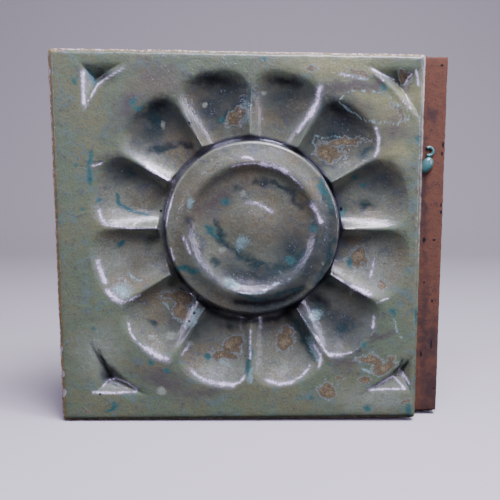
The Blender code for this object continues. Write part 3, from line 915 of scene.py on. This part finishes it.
# Marks in the glaze, and patches of painted light and painted shade, as seen in the photograph: middle, half
# width and half height in pixels, clockwise turn
SPOTS = {
    "olive": (
        (335, 66, 46, 12, 3),
        (408, 95, 18, 20, 60),
        (375, 100, 30, 10, 20),
        (388, 120, 24, 14, 10),
        (395, 150, 18, 14, 0),
        (280, 308, 34, 4, -14),
    ),
    # Chips along the left edge, painted pale as glints.
    "chip": (
        (57, 270, 2.6, 5.0, 0),
        (59, 350, 2.6, 6.0, 0),
        (61, 376, 2.6, 4.5, 0),
        (62, 396, 2.4, 5.0, 0),
        (48, 70, 2.4, 4.5, 0),
        (49, 190, 2.4, 6.0, 0),
        (53, 228, 2.2, 4.0, 0),
        (50, 120, 1.5, 2.5, 0),
        (56, 310, 1.6, 2.5, 0),
        (63, 414, 2.0, 2.5, 0),
    ),
    "plum": (
        (165, 380, 32, 14, 25),
        (205, 393, 22, 6, 0),
        (158, 80, 26, 16, 10),
        (128, 105, 12, 26, 30),
        (395, 128, 14, 12, 30),
        (352, 84, 34, 4, -3),
        (345, 362, 16, 8, 0),
        (382, 336, 14, 4, -20),
        (215, 200, 34, 12, -30),
    ),
    "rust": (
        (236, 117, 11, 7, -35),
        (345, 142, 18, 4, -6),
        (328, 152, 12, 7, 20),
        (181, 297, 16, 5, 8),
        (181, 308, 7, 11, -10),
        (233, 344, 10, 7, -40),
        (222, 355, 12, 5, 10),
        (285, 338, 8, 10, 0),
        (357, 257, 7, 10, 0),
        (327, 391, 8, 7, 0),
        (371, 361, 12, 5, 10),
        (386, 366, 12, 4, -25),
        (364, 380, 5, 3, -20),
        (404, 401, 6, 2.5, -15),
        (313, 67, 4, 4, 0),
        (360, 72, 11, 2.5, 8),
        (399, 112, 11, 2.5, 50),
        (88, 413, 4, 2, 0),
        (339, 378, 4, 3, 0),
        (381, 284, 4, 6, 0),
        (404, 77, 6, 5, 30),
        (212, 168, 9, 1.5, -30),
    ),
    # Painted shade on the down-facing tops of the upper petals and in the pits.
    "ink": (
        (215, 80, 24, 7, 0),
        (285, 82, 16, 5, 10),
        (336, 108, 18, 9, 30),
        (158, 106, 14, 8, -30),
        (401, 80, 11, 8, 40),
        (104, 76, 12, 6, 0),
        (110, 376, 7, 9, -35),
        (366, 205, 5, 3, 0),
        (320, 300, 14, 6, 30),
    ),
    "turquoise": (
        (74, 67, 1.6, 2.5, 0),
        (74, 81, 2.4, 4, 0),
        (92, 79, 3, 10, -35),
        (90, 180, 3, 8, 0),
        (76, 165, 2, 3, 0),
        (99, 200, 3, 2, 0),
        (82, 210, 3, 2, 0),
        (119, 202, 2, 7, -20),
        (132, 211, 11, 1.6, 20),
        (145, 215, 5, 2, 20),
        (264, 59, 3, 3, 0),
        (384, 88, 4, 3, 30),
        (226, 201, 5, 4, 0),
        (210, 230, 5, 4, 30),
        (313, 228, 5, 4, 0),
        (183, 268, 7, 3, -10),
        (193, 272, 6, 4, 0),
        (290, 260, 6, 4, 30),
        (418, 139, 3, 4, 0),
        (393, 312, 4, 4, 0),
        (364, 346, 3, 3, 0),
        (368, 408, 4, 4, 0),
        (311, 398, 3, 2, 0),
        (115, 405, 3, 5, 0),
        (111, 411, 5, 2, 0),
        (167, 371, 4, 3, 30),
        (152, 363, 3, 3, 0),
        (121, 243, 7, 2.5, -30),
        (247, 368, 3, 8, 0),
        (355, 178, 4, 3, 0),
        (363, 186, 3, 2, 0),
        (207, 356, 4, 4, 0),
        (139, 109, 4, 3, 0),
        (133, 102, 3, 5, 30),
        (93, 328, 3, 2, 0),
        (343, 213, 3, 6, 0),
        (322, 190, 3, 9, -30),
        (222, 119, 3, 4, 0),
        (330, 365, 3, 2, 0),
        (250, 352, 2, 12, 0),
        (350, 263, 3, 6, 0),
        (409, 410, 3, 6, 0),
        (416, 315, 2, 9, 0),
        (232, 286, 8, 3, 20),
    ),
    "stain": (
        (137, 202, 18, 10, 15),
        (152, 197, 12, 8, 30),
        (137, 266, 11, 14, 0),
        (205, 190, 30, 14, -40),
        (245, 225, 40, 20, 0),
        (180, 240, 8, 34, 0),
        (300, 105, 14, 10, 0),
        (372, 140, 14, 8, 40),
        (158, 84, 24, 14, 0),
        (345, 150, 22, 16, 0),
        (285, 345, 16, 14, 0),
        (361, 107, 9, 6, 30),
        (391, 168, 9, 8, 30),
        (226, 181, 8, 4, -30),
        (190, 182, 12, 26, 40),
        (178, 262, 8, 22, -20),
        (222, 302, 30, 8, 20),
    ),
    # Painted light: lighter patches on the lower face and on the lit petal tips.
    "haze": (
        (98, 352, 22, 24, 0),
        (372, 398, 40, 12, 0),
        (367, 320, 5, 7, 0),
        (374, 268, 22, 16, 0),
        (286, 356, 20, 18, 0),
        (222, 366, 22, 10, 0),
        (116, 212, 14, 16, 0),
        (122, 262, 18, 14, 0),
        (262, 208, 16, 6, 20),
    ),
    # Partly the dark pooled glaze, partly painted shade on the down-facing upper petals and under the boss.
    "slate": (
        (160, 118, 26, 20, -30),
        (152, 132, 20, 14, -30),
        (225, 92, 28, 16, 0),
        (212, 108, 26, 24, 0),
        (290, 100, 26, 20, 10),
        (345, 125, 34, 26, 30),
        (336, 136, 30, 24, 20),
        (345, 325, 28, 24, -30),
        (250, 276, 46, 15, 0),
        (380, 178, 22, 16, 0),
        (125, 172, 22, 12, 15),
        (300, 265, 34, 26, -35),
        (275, 285, 44, 20, -10),
        (262, 304, 60, 12, 0),
        (328, 238, 16, 44, 8),
        (292, 250, 20, 24, 20),
        (305, 322, 16, 26, -30),
        (330, 315, 26, 20, 0),
        (190, 320, 22, 18, 30),
    ),
    "teal": (
        (236, 188, 5, 3, 0),
        (155, 120, 7, 10, -20),
        (131, 172, 6, 4, 20),
        (163, 149, 8, 3, -10),
        (333, 135, 6, 4, 0),
        (240, 250, 9, 3, 30),
        (255, 262, 18, 5, 18),
        (285, 268, 22, 5, -14),
        (220, 238, 5, 9, -40),
        (300, 255, 10, 6, -30),
        (317, 312, 8, 8, 0),
        (305, 340, 5, 14, -25),
        (365, 152, 9, 4, -20),
        (366, 204, 7, 5, 10),
        (345, 328, 9, 5, 0),
        (228, 112, 10, 3, -40),
        (248, 98, 5, 14, 0),
        (330, 205, 3, 12, -20),
        (215, 262, 5, 3, 0),
        (152, 323, 5, 3, 0),
        (229, 326, 4, 4, 0),
        (280, 186, 8, 3, 20),
        (291, 252, 5, 3, 0),
    ),
    "milky": (
        (242, 243, 6, 8, 10),
        (190, 203, 3, 7, 0),
        (192, 317, 7, 10, 35),
        (315, 315, 7, 5, -20),
        (245, 113, 4, 12, 0),
        (123, 291, 9, 8, 0),
        (250, 375, 3, 8, 0),
        # This spot on the boss's lower inner slope is a painted highlight.
        (234, 283, 9, 3, 25),
        (315, 352, 4, 14, -25),
    ),
    "pale": (
        (205, 105, 3, 3, 0),
        (243, 194, 4, 4, 0),
        (170, 336, 6, 5, 0),
        (152, 337, 4, 4, 0),
        (162, 391, 6, 5, 0),
        (264, 93, 3, 3, 0),
        (352, 293, 3, 3, 0),
        (190, 343, 5, 3, 0),
        (222, 249, 5, 3, 0),
        (323, 264, 2, 2, 0),
        (285, 368, 5, 5, 0),
        (163, 125, 3, 5, 0),
    ),
    "pinhole": (
        (190, 123, 2.2, 1.6, 30),
        (341, 209, 1.6, 2.2, 0),
        (194, 313, 1.8, 1.8, 0),
        (189, 321, 1.5, 1.5, 0),
        (161, 211, 1.5, 1.5, 0),
        (100, 394, 1.2, 1.2, 0),
        (293, 409, 1.2, 1.5, 0),
        (442, 65, 2.2, 1.8, 0),
        (443, 145, 1.0, 3.5, 0),
        (442, 154, 1.2, 2.5, 0),
        (441, 205, 1.0, 2.5, 0),
        (441, 212, 1.2, 2.0, 0),
        (434, 240, 1.4, 1.4, 0),
        (424, 283, 1.5, 1.5, 0),
        (432, 301, 0.9, 2.5, 0),
        (431, 344, 0.8, 6.0, 0),
        (421, 354, 1.0, 4.0, 0),
        (424, 240, 1.8, 3.0, 0),
        (434, 388, 1.2, 1.2, 0),
    ),
    # Darker clay on the ledge: flashing, and painted shade in the long bands along the foot of the face's
    # wall.
    "flash": (
        (432, 116, 8, 10, 0),
        (424, 200, 4, 60, 0),
        (424, 330, 5, 60, 0),
        (432, 390, 14, 28, 0),
        (434, 340, 8, 20, 0),
    ),
}


# How far down the walls the glaze ran, at the right and elsewhere, and over what height it gives way to clay
RIGHT_GLAZE_FOOT = 6.5 * MM
GLAZE_FOOT = 3.2 * MM
FOOT_UNEVENNESS = 0.5
FOOT_STRETCH = (1, 0.2, 1)
FOOT_SOFTNESS = 1.6 * MM

# Glaze pools from this depth below the face, and fully this much deeper. It pools less in the pits
POOL_START = 0.4 * MM
POOL_SPAN = 3.0 * MM
PIT_POOL = 0.3
BOSS_POOL = 0.7

# The thick glaze in the groove: its middle as a share of the groove's width, and how far it reaches from it
DEEP_MIDDLE = 0.2
DEEP_REACH = 2.4 * MM

# The glaze breaks where a scoop is this shallow
BREAK_DEPTH = 0.8 * MM

# The strips along the right and the left edge where the glaze thins less and more than along the others, how
# far in from an edge it is thin, how far in and how far down the edge is worn, and the painted highlight line
# at the right, which is painted brighter further up
RIGHT_STRIP = 2.0 * MM
LEFT_STRIP = 4.0 * MM
THIN_START = 0.1 * MM
THIN_REACH = 1.5 * MM
LEFT_THIN_REACH = 3.0 * MM
RIGHT_THIN = 0.3
WORN_REACH = 2.2 * MM
WORN_DEPTH = 3.0 * MM
EDGE_HIGHLIGHT_INSET = 0.5 * MM
EDGE_HIGHLIGHT_REACH = 0.9 * MM
EDGE_HIGHLIGHT_MIDDLE = 0.6

# The photograph's marks lie on what is in front of the ledge's face, and this far behind it
FRONT_SLACK = 1.0 * MM


def fading(distance, reach):
    """How much is left at a distance of what is 1 at no distance and 0 at the end of its reach."""
    return 1 - distance / reach


def glaze_masks(plan, slab, carving, points):
    """Where the shape of the clay makes the glaze end, pool, break, thin or wear, and where a highlight line
    is painted along the right edge.
    """
    x, y, z = points.T
    behind = y - plan.face_plane
    to_edge = plan.edge_distance(x, z, slab.corner_rounding)
    inland = to_edge > slab.face_arris
    by_right = x > plan.face_right - RIGHT_STRIP
    by_left = x < plan.left + LEFT_STRIP
    uneven = 1 + FOOT_UNEVENNESS * noise_at(points * FOOT_STRETCH, "glaze_foot")
    foot = np.where(by_right, RIGHT_GLAZE_FOOT, GLAZE_FOOT) * uneven
    bare = 0.5 + (behind - foot) / FOOT_SOFTNESS
    in_pit = np.max([pit_depth(plan, slab, carving, pit, x, z) for pit in PITS], axis=0) > 0
    pooled = np.where(in_pit, PIT_POOL, 1) * (behind - POOL_START) / POOL_SPAN
    from_boss = np.hypot(x - plan.boss.x, z - plan.boss.y)
    from_deep = np.abs(from_boss - carving.boss_radius - DEEP_MIDDLE * carving.groove_width)
    across, up = x - plan.rosette.x, z - plan.rosette.y
    radius = np.maximum(np.hypot(across, up), plan.groove_radius)
    scoop = petal_depth(slab, carving, radius, np.arctan2(up, across) % FULL_TURN)
    thinned = fading(to_edge - THIN_START, np.where(by_left, LEFT_THIN_REACH, THIN_REACH))
    painted_edge_highlight = fading(np.abs(to_edge - EDGE_HIGHLIGHT_INSET), EDGE_HIGHLIGHT_REACH)
    return {
        "clay": np.where(inland & (y < plan.ledge_plane), 0, bare),
        "pool": np.where(from_boss < carving.boss_radius, BOSS_POOL, pooled) * inland,
        "deep": fading(from_deep, DEEP_REACH) * (behind > 0),
        "break": fading(np.abs(scoop), BREAK_DEPTH) * (from_boss > plan.groove_radius),
        "thin": thinned * np.where(by_right, RIGHT_THIN, 1),
        "worn": fading(to_edge, WORN_REACH) * ~by_right * (behind < WORN_DEPTH),
        "painted_edge_highlight": painted_edge_highlight * by_right * (EDGE_HIGHLIGHT_MIDDLE + z / plan.height),
    }


def photo_masks(plan, nominal, moved):
    """Where the marks of the photograph lie on the front, with outlines that wander."""
    px, py = seen_at(moved)
    on_front = nominal[:, 1] < plan.ledge_plane + FRONT_SLACK
    across = noise_at(nominal, "marks_across")
    down = noise_at(nominal, "marks_down")
    masks = {}
    for name in sorted({*SPOTS, *STROKES}):
        wander = MARK_WANDER.get(name, OTHER_WANDER)
        at = px + across * wander, py + down * wander
        field = np.maximum(spots(SPOTS.get(name, ()), *at), strokes(STROKES.get(name, ()), *at))
        masks[name] = field * on_front
    return masks


def store_masks(mesh, masks):
    """Stores each mask as an attribute of the mesh, for its material to read."""
    for name, values in masks.items():
        layer = mesh.attributes.new(name, "FLOAT", "POINT")
        layer.data.foreach_set("value", np.clip(values, 0, 1).astype(np.float32))


def add_node(tree, kind, settings=None, inputs=None):
    """Adds a node with its own settings. Each input gets a value, or a link from another node's output."""
    node = tree.nodes.new(kind)
    for name, value in (settings or {}).items():
        setattr(node, name, value)
    for key, value in (inputs or {}).items():
        if isinstance(value, bpy.types.NodeSocket):
            tree.links.new(value, node.inputs[key])
        else:
            node.inputs[key].default_value = value
    return node


# A Mix node's sockets when it mixes colours: the two colours and the result
MIX_FIRST, MIX_SECOND, MIX_RESULT = 6, 7, 2


# Each pattern of the glaze: its size in mm, its detail, its twist, and how many times longer it is across
# than up. The real grain is finer than a picture of the whole tile shows, so "grain" is drawn twice as coarse
PATTERNS = (
    ("cloud", 15.0, 4, 0.3, 1),
    ("swirl", 9.0, 4, 1.5, 1),
    ("streak", 1.4, 4, 0.4, 6),
    ("ragged", 3.6, 5, 0.3, 1),
    ("mottle", 1.6, 3, 0.3, 1),
    ("grain", 0.8, 2, 0.0, 1),
)
PATTERN_ROUGHNESS = 0.62

# Clouds in the thin and in the pooled glaze: the pattern, where a cloud starts and is full, and its colour
CLOUDS = (
    ("thin", "cloud", 0.44, 0.60, "sage_warm"),
    ("thin", "swirl", 0.50, 0.66, "sage_cool"),
    ("thin", "streak", 0.50, 0.72, "sage_green"),
    ("thin", "ragged", 0.54, 0.74, "sage_dark"),
    ("thin", "grain", 0.50, 0.66, "sage_dark"),
    ("pooled", "cloud", 0.46, 0.62, "pewter_warm"),
    ("pooled", "swirl", 0.50, 0.70, "pewter_cool"),
    ("pooled", "mottle", 0.54, 0.70, "pewter_warm"),
    ("pooled", "grain", 0.58, 0.90, "pale"),
)

# Coats over the thin glaze, from the first to the last: the mask that a coat lies by, where it starts and is
# full, how ragged and how speckled it is, and its colour
COATS = (
    ("olive", 0.20, 0.90, 0.9, 0.3, "olive"),
    ("pool", 0.15, 0.60, 0.6, 0.2, "pooled"),
    ("plum", 0.10, 1.20, 0.9, 0.7, "plum"),
    # Painted light.
    ("haze", 0.10, 1.40, 0.9, 0.4, "pale"),
    # Dark pooled glaze and painted shade, then milky specks in its middle.
    ("slate", 0.00, 1.15, 0.6, 0.6, "slate"),
    ("slate", 1.15, 1.60, 0.4, 2.4, "milky"),
    ("break", 0.70, 1.90, 1.8, 0.6, "break_tone"),
    ("deep", 0.20, 0.90, 0.5, 0.2, "deep"),
    ("thin", 0.35, 0.75, 1.2, 0.4, "ochre"),
    ("worn", 0.75, 1.00, 1.4, 1.0, "clay"),
    # Pale chips along the worn edges, partly painted glints.
    ("worn", 0.80, 1.00, 0.6, 2.0, "chip"),
    # Painted highlight along the right edge.
    ("painted_edge_highlight", 0.25, 0.80, 0.9, 0.4, "chip"),
    ("stain", 0.20, 1.30, 1.2, 0.5, "umber"),
    # Painted shade.
    ("ink", 0.10, 1.10, 0.9, 0.4, "ink"),
    ("teal", 0.15, 1.15, 1.3, 1.0, "teal"),
    ("milky", 0.30, 0.80, 0.7, 0.8, "milky"),
    ("pale", 0.40, 0.80, 0.3, 0.4, "pale"),
    ("rust", 0.30, 0.40, 1.0, 0.6, "rust_rim"),
    ("rust", 0.36, 0.54, 1.0, 0.5, "rust"),
    ("rust", 0.50, 1.10, 2.0, 0.8, "straw"),
    ("turquoise", 0.30, 0.80, 0.5, 0.6, "turquoise"),
    ("turquoise", 0.80, 1.15, 0.5, 0.8, "teal"),
    # Painted highlights: a soft glow, then a white core.
    ("rim", 0.00, 1.15, 0.8, 0.8, "painted_highlight_glow"),
    ("rim", 0.54, 0.98, 1.2, 0.9, "painted_highlight"),
    # Chips, painted pale as glints.
    ("chip", 0.35, 0.55, 0.9, 0.4, "chip"),
    ("clay", 0.45, 0.60, 0.6, 0.2, "clay"),
    ("clay", 1.00, 1.45, 1.2, 2.4, "clay_dark_and_shade"),
    # Flashing and painted shade on the ledge.
    ("flash", 0.20, 1.00, 0.9, 0.6, "clay_dark_and_shade"),
    ("pinhole", 0.40, 0.60, 0.2, 0.0, "pinhole"),
)

# Sockets that follow the surface: their value on thin glaze, in the pools, on the edges and on bare clay
SHINE = (
    ("Roughness", 0.42, 0.36, 0.60, 0.90),
    ("Metallic", 0.0, 0.18, 0.0, 0.0),
    ("Coat Weight", 0.55, 1.0, 0.15, 0.0),
)

# Runs in the glaze and then its grain, which break up what shines on it: the pattern and its depth in mm
BUMPS = (("ragged", 0.35), ("grain", 0.12))
BUMP_STRENGTH = 0.7


def glaze_patterns(tree):
    """The patterns that make the glaze uneven, by name."""
    place = add_node(tree, "ShaderNodeTexCoord").outputs["Object"]
    patterns = {}
    for name, millimetres, detail, twist, longer in PATTERNS:
        stretched = add_node(
            tree, "ShaderNodeVectorMath", {"operation": "DIVIDE"}, {0: place, 1: (longer, longer, 1)}
        )
        texture = add_node(
            tree,
            "ShaderNodeTexNoise",
            None,
            {
                "Vector": stretched.outputs[0],
                "Scale": 1 / (millimetres * MM),
                "Detail": detail,
                "Roughness": PATTERN_ROUGHNESS,
                "Distortion": twist,
            },
        )
        patterns[name] = texture.outputs["Fac"]
    return patterns


def lay_over(tree, paint, tone, mask, start, full):
    """Lays a tone over the paint where the mask passes from start to full. Returns both paint and share."""
    share = add_node(
        tree,
        "ShaderNodeMapRange",
        {"interpolation_type": "SMOOTHSTEP"},
        {"Value": mask, "From Min": start, "From Max": full},
    ).outputs[0]
    mix = add_node(
        tree, "ShaderNodeMix", {"data_type": "RGBA"}, {0: share, MIX_FIRST: paint, MIX_SECOND: tone}
    )
    return mix.outputs[MIX_RESULT], share


def glaze_paint(tree, finish, patterns):
    """The colour of glaze and clay, coat by coat, and the share of the first coat of each mask."""
    paints = {"thin": finish.sage, "pooled": finish.pewter}
    for glaze, pattern, start, full, tone in CLOUDS:
        over = getattr(finish, tone)
        paints[glaze], _ = lay_over(tree, paints[glaze], over, patterns[pattern], start, full)

    paint = paints["thin"]
    shares = {}
    for name, start, full, ragged, speckled, tone in COATS:
        mask = add_node(tree, "ShaderNodeAttribute", {"attribute_name": name}).outputs["Fac"]
        for pattern, amount in (("ragged", ragged), ("grain", speckled)):
            mask = add_node(
                tree,
                "ShaderNodeMath",
                {"operation": "MULTIPLY_ADD"},
                {0: patterns[pattern], 1: amount, 2: mask},
            ).outputs[0]
        middle = (ragged + speckled) / 2
        over = paints["pooled"] if tone == "pooled" else getattr(finish, tone)
        paint, share = lay_over(tree, paint, over, mask, start + middle, full + middle)
        shares.setdefault(name, share)
    return paint, shares


def glaze_material(finish):
    """Reduction-fired ash glaze on iron stoneware.

    It is satin sage green where it lies thin and flat, and glossy pewter where it pooled in the carving. It
    breaks to ochre over the edges, and bears rust, turquoise and milky marks. Past its edge the body shows as
    coarse red-brown clay. Its colour also carries painted highlights on the rims and the boss, and painted
    shade in the hollows that face away from the light.
    """
    material = bpy.data.materials.new("reduction_glaze_on_iron_stoneware")
    material.use_nodes = True
    tree = material.node_tree
    shader = tree.nodes["Principled BSDF"]
    patterns = glaze_patterns(tree)
    paint, shares = glaze_paint(tree, finish, patterns)
    flecked = add_node(
        tree,
        "ShaderNodeMix",
        {"data_type": "RGBA", "blend_type": "OVERLAY"},
        {0: 0.5, MIX_FIRST: paint, MIX_SECOND: patterns["grain"]},
    )
    tree.links.new(flecked.outputs[MIX_RESULT], shader.inputs["Base Color"])

    for socket, thin, pooled, edge, bare in SHINE:
        value = thin
        for name, other in (("pool", pooled), ("thin", edge), ("clay", bare)):
            mix = add_node(
                tree, "ShaderNodeMix", {"data_type": "FLOAT"}, {0: shares[name], 2: value, 3: other}
            )
            value = mix.outputs[0]
        tree.links.new(value, shader.inputs[socket])
    shader.inputs["Coat Roughness"].default_value = 0.04
    shader.inputs["IOR"].default_value = 1.5

    bumped = {}
    for pattern, depth in BUMPS:
        bump = add_node(
            tree,
            "ShaderNodeBump",
            None,
            {"Height": patterns[pattern], "Distance": depth * MM, "Strength": BUMP_STRENGTH, **bumped},
        )
        bumped = {"Normal": bump.outputs[0]}
    for socket in ("Normal", "Coat Normal"):
        tree.links.new(bump.outputs[0], shader.inputs[socket])
    return material


class TILE_OT_body(bpy.types.Operator):
    """Build the tile's glazed face, bare sides, ledge and back as one closed piece."""

    bl_idname = "tile.body"
    bl_label = "Tile"

    def execute(self, context):
        settings = context.scene.stoneware_tile
        slab, carving = settings.slab, settings.carving
        plan = Plan(slab, carving)
        bm = front_sheet(plan, slab, carving)
        press_relief(plan, slab, carving, bm)
        close_body(plan, slab, bm)
        open_edges = sum(not edge.is_manifold for edge in bm.edges)
        if open_edges:
            raise RuntimeError(f"the tile has {open_edges} edges that don't join two faces")
        nominal = np.array([vert.co for vert in bm.verts])
        moved = roughen_edges(plan, slab, nominal)
        for vert, co in zip(bm.verts, moved):
            vert.co = co
        mesh = bpy.data.meshes.new("glazed_tile")
        bm.to_mesh(mesh)
        bm.free()
        store_masks(mesh, glaze_masks(plan, slab, carving, nominal))
        store_masks(mesh, photo_masks(plan, nominal, moved))
        mesh.shade_smooth()
        mesh.set_sharp_from_angle(angle=math.radians(SHARP_ANGLE))
        mesh.materials.append(glaze_material(settings.finish))
        tile = bpy.data.objects.new("glazed_tile", mesh)
        context.scene.collection.objects.link(tile)
        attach(tile, "root")
        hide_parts(NODE)
        return {"FINISHED"}


def add_drip(scene, name, bm, material):
    """Makes an object of a closed piece of glaze that rides with the tile."""
    bmesh.ops.recalc_face_normals(bm, faces=bm.faces)
    mesh = bpy.data.meshes.new(name)
    bm.to_mesh(mesh)
    bm.free()
    mesh.shade_smooth()
    mesh.materials.append(material)
    drip = bpy.data.objects.new(name, mesh)
    scene.collection.objects.link(drip)
    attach(drip, "root")


def drip_material(drips):
    """Copper glaze that ran together and froze in thick drops: opaque turquoise glass with a wet shine."""
    material = bpy.data.materials.new("thick_turquoise_glaze")
    material.use_nodes = True
    shader = material.node_tree.nodes["Principled BSDF"]
    shader.inputs["Base Color"].default_value = drips.drip_colour
    shader.inputs["Roughness"].default_value = 0.3
    shader.inputs["Coat Weight"].default_value = 1.0
    shader.inputs["Coat Roughness"].default_value = 0.05
    return material


def hook_shape(drips):
    """The hook: a round run of glaze that turns most of the way round a circle."""
    bm = bmesh.new()
    middle = Vector(drips.hook_place)
    bmesh.ops.create_circle(bm, radius=drips.hook_thickness / 2, segments=HOOK_SIDES)
    bmesh.ops.translate(bm, verts=bm.verts, vec=middle + Vector((drips.hook_radius, 0, 0)))
    turned = Matrix.Rotation(-math.radians(HOOK_START), 3, "Y")
    bmesh.ops.rotate(bm, verts=bm.verts, cent=middle, matrix=turned)
    bmesh.ops.spin(
        bm,
        geom=[*bm.verts, *bm.edges],
        cent=middle,
        axis=(0, 1, 0),
        angle=math.radians(HOOK_SWEEP),
        steps=HOOK_STEPS,
    )
    bmesh.ops.holes_fill(bm, edges=bm.edges)
    return bm


def drop_shape(drips):
    """The drop: a ball whose foot hangs over towards the face."""
    bm = bmesh.new()
    bmesh.ops.create_uvsphere(bm, u_segments=DROP_COLUMNS, v_segments=DROP_ROWS, radius=0.5)
    for vert in bm.verts:
        fallen = (0.5 - vert.co.z) ** 2
        vert.co.x -= DROP_LEAN * fallen
    bmesh.ops.scale(bm, verts=bm.verts, vec=drips.drop_size)
    bmesh.ops.translate(bm, verts=bm.verts, vec=drips.drop_place)
    return bm


class TILE_OT_drips(bpy.types.Operator):
    """Build the hook and the drop of thick glaze that ran over the face's edge onto the ledge."""

    bl_idname = "tile.drips"
    bl_label = "Drips"

    def execute(self, context):
        drips = context.scene.stoneware_tile.drips
        material = drip_material(drips)
        add_drip(context.scene, "glaze_hook", hook_shape(drips), material)
        add_drip(context.scene, "glaze_drop", drop_shape(drips), material)
        return {"FINISHED"}


def add_softbox(scene, name, place, size, tint, watts):
    """A rectangular soft light that faces the tile's middle."""
    light = bpy.data.lights.new(name, "AREA")
    light.shape = "RECTANGLE"
    light.size, light.size_y = size
    light.energy = watts
    light.color = tint
    lamp = bpy.data.objects.new(name, light)
    lamp.location = place
    lamp.rotation_euler = (-Vector(place)).to_track_quat("-Z", "Y").to_euler()
    scene.collection.objects.link(lamp)


def paper_material(stage):
    """Seamless studio paper: pale and matt, so that it takes a soft shadow and no glare."""
    material = bpy.data.materials.new("matt_studio_paper")
    material.use_nodes = True
    shader = material.node_tree.nodes["Principled BSDF"]
    shader.inputs["Base Color"].default_value = stage.floor_colour
    shader.inputs["Roughness"].default_value = 0.9
    return material


def add_floor(scene, stage):
    """A sheet of pale paper that runs back from the tile's foot and curves up behind it."""
    floor_level = CAD_BOX[0].z - FLOOR_GAP
    bend = PAPER_BEND
    profile = [(PAPER_FRONT, 0.0), (PAPER_BACK - bend, 0.0)]
    for turn in PAPER_STEPS:
        swing = math.radians(turn)
        profile.append((PAPER_BACK - bend + bend * math.sin(swing), bend - bend * math.cos(swing)))
    profile.append((PAPER_BACK, PAPER_HEIGHT))
    bm = bmesh.new()
    line = [bm.verts.new((-PAPER_HALF_WIDTH, y, floor_level + z)) for y, z in profile]
    edges = [bm.edges.new(pair) for pair in zip(line, line[1:])]
    pull_edges(bm, edges, lambda co: (PAPER_HALF_WIDTH, co.y, co.z))
    bmesh.ops.recalc_face_normals(bm, faces=bm.faces)
    mesh = bpy.data.meshes.new("studio_paper")
    bm.to_mesh(mesh)
    bm.free()
    mesh.shade_smooth()
    mesh.materials.append(paper_material(stage))
    floor = bpy.data.objects.new("studio_paper", mesh)
    floor.visible_glossy = False
    floor.visible_diffuse = False
    scene.collection.objects.link(floor)


def add_sky(scene, stage):
    """Dim light from all round, which grows from the horizon upwards."""
    world = bpy.data.worlds.new("light_from_above")
    world.use_nodes = True
    tree = world.node_tree
    direction = add_node(tree, "ShaderNodeTexCoord").outputs["Generated"]
    height = add_node(tree, "ShaderNodeSeparateXYZ", None, {0: direction}).outputs["Z"]
    strength = add_node(
        tree,
        "ShaderNodeMapRange",
        None,
        {
            "Value": height,
            "From Min": SKY_START,
            "From Max": SKY_FULL,
            "To Min": SKY_LEAST,
            "To Max": stage.ambient,
        },
    )
    background = tree.nodes["Background"]
    background.inputs["Color"].default_value = stage.light_colour
    tree.links.new(strength.outputs[0], background.inputs["Strength"])
    scene.world = world


def add_camera(scene):
    """The camera that took the photograph, as fitted to the tile's corners."""
    lens = bpy.data.cameras.new("photo_camera")
    lens.lens = LENS_MM
    lens.sensor_width = SENSOR_MM
    lens.clip_start = 0.01
    camera = bpy.data.objects.new("photo_camera", lens)
    camera.location = CAMERA_PLACE
    camera.rotation_euler = (math.radians(90) - CAMERA_PITCH, 0, 0)
    scene.collection.objects.link(camera)
    scene.camera = camera


class TILE_OT_stage(bpy.types.Operator):
    """Set up the pale floor, the soft lights and the camera of the photograph."""

    bl_idname = "tile.stage"
    bl_label = "Stage"

    def execute(self, context):
        scene = context.scene
        stage = scene.stoneware_tile.stage
        add_floor(scene, stage)
        day, cool = stage.light_colour[:3], stage.window_colour[:3]
        add_softbox(scene, "top_softbox", (0.20, -0.25, 0.66), (0.46, 0.20), day, stage.top_light)
        add_softbox(scene, "high_window", (0.04, -0.38, 0.56), (0.46, 0.12), cool, stage.high_light)
        add_softbox(scene, "left_strip", (-0.54, -0.38, 0.18), (0.05, 0.34), cool, stage.left_light)
        add_softbox(scene, "right_strip", (0.54, -0.38, 0.20), (0.07, 0.50), cool, stage.right_light)
        add_softbox(scene, "front_window", (0.05, -0.64, 0.24), (0.06, 0.03), cool, stage.front_light)
        add_sky(scene, stage)
        add_camera(scene)
        return {"FINISHED"}


class TILE_PT_panel(bpy.types.Panel):
    """Sizes, colours and steps of the tile."""

    bl_idname = "TILE_PT_panel"
    bl_label = "Stoneware Tile"
    bl_space_type = "VIEW_3D"
    bl_region_type = "UI"
    bl_category = "Tile"

    def draw(self, context):
        settings = context.scene.stoneware_tile
        for group in (settings.slab, settings.carving, settings.finish, settings.drips, settings.stage):
            box = self.layout.box()
            for name in group.__annotations__:
                box.prop(group, name)
        self.layout.operator(TILE_OT_body.bl_idname)
        self.layout.operator(TILE_OT_drips.bl_idname)
        self.layout.operator(TILE_OT_stage.bl_idname)


CLASSES = (
    TileSlabSettings,
    TileCarvingSettings,
    TileFinishSettings,
    TileDripSettings,
    TileStageSettings,
    StonewareTileSettings,
    TILE_OT_body,
    TILE_OT_drips,
    TILE_OT_stage,
    TILE_PT_panel,
)


def register():
    for each in CLASSES:
        bpy.utils.register_class(each)
    bpy.types.Scene.stoneware_tile = PointerProperty(type=StonewareTileSettings)


def unregister():
    del bpy.types.Scene.stoneware_tile
    for each in reversed(CLASSES):
        bpy.utils.unregister_class(each)


def main():
    register()
    bpy.ops.tile.body()
    bpy.ops.tile.drips()
    bpy.ops.tile.stage()


if __name__ == "__main__":
    main()
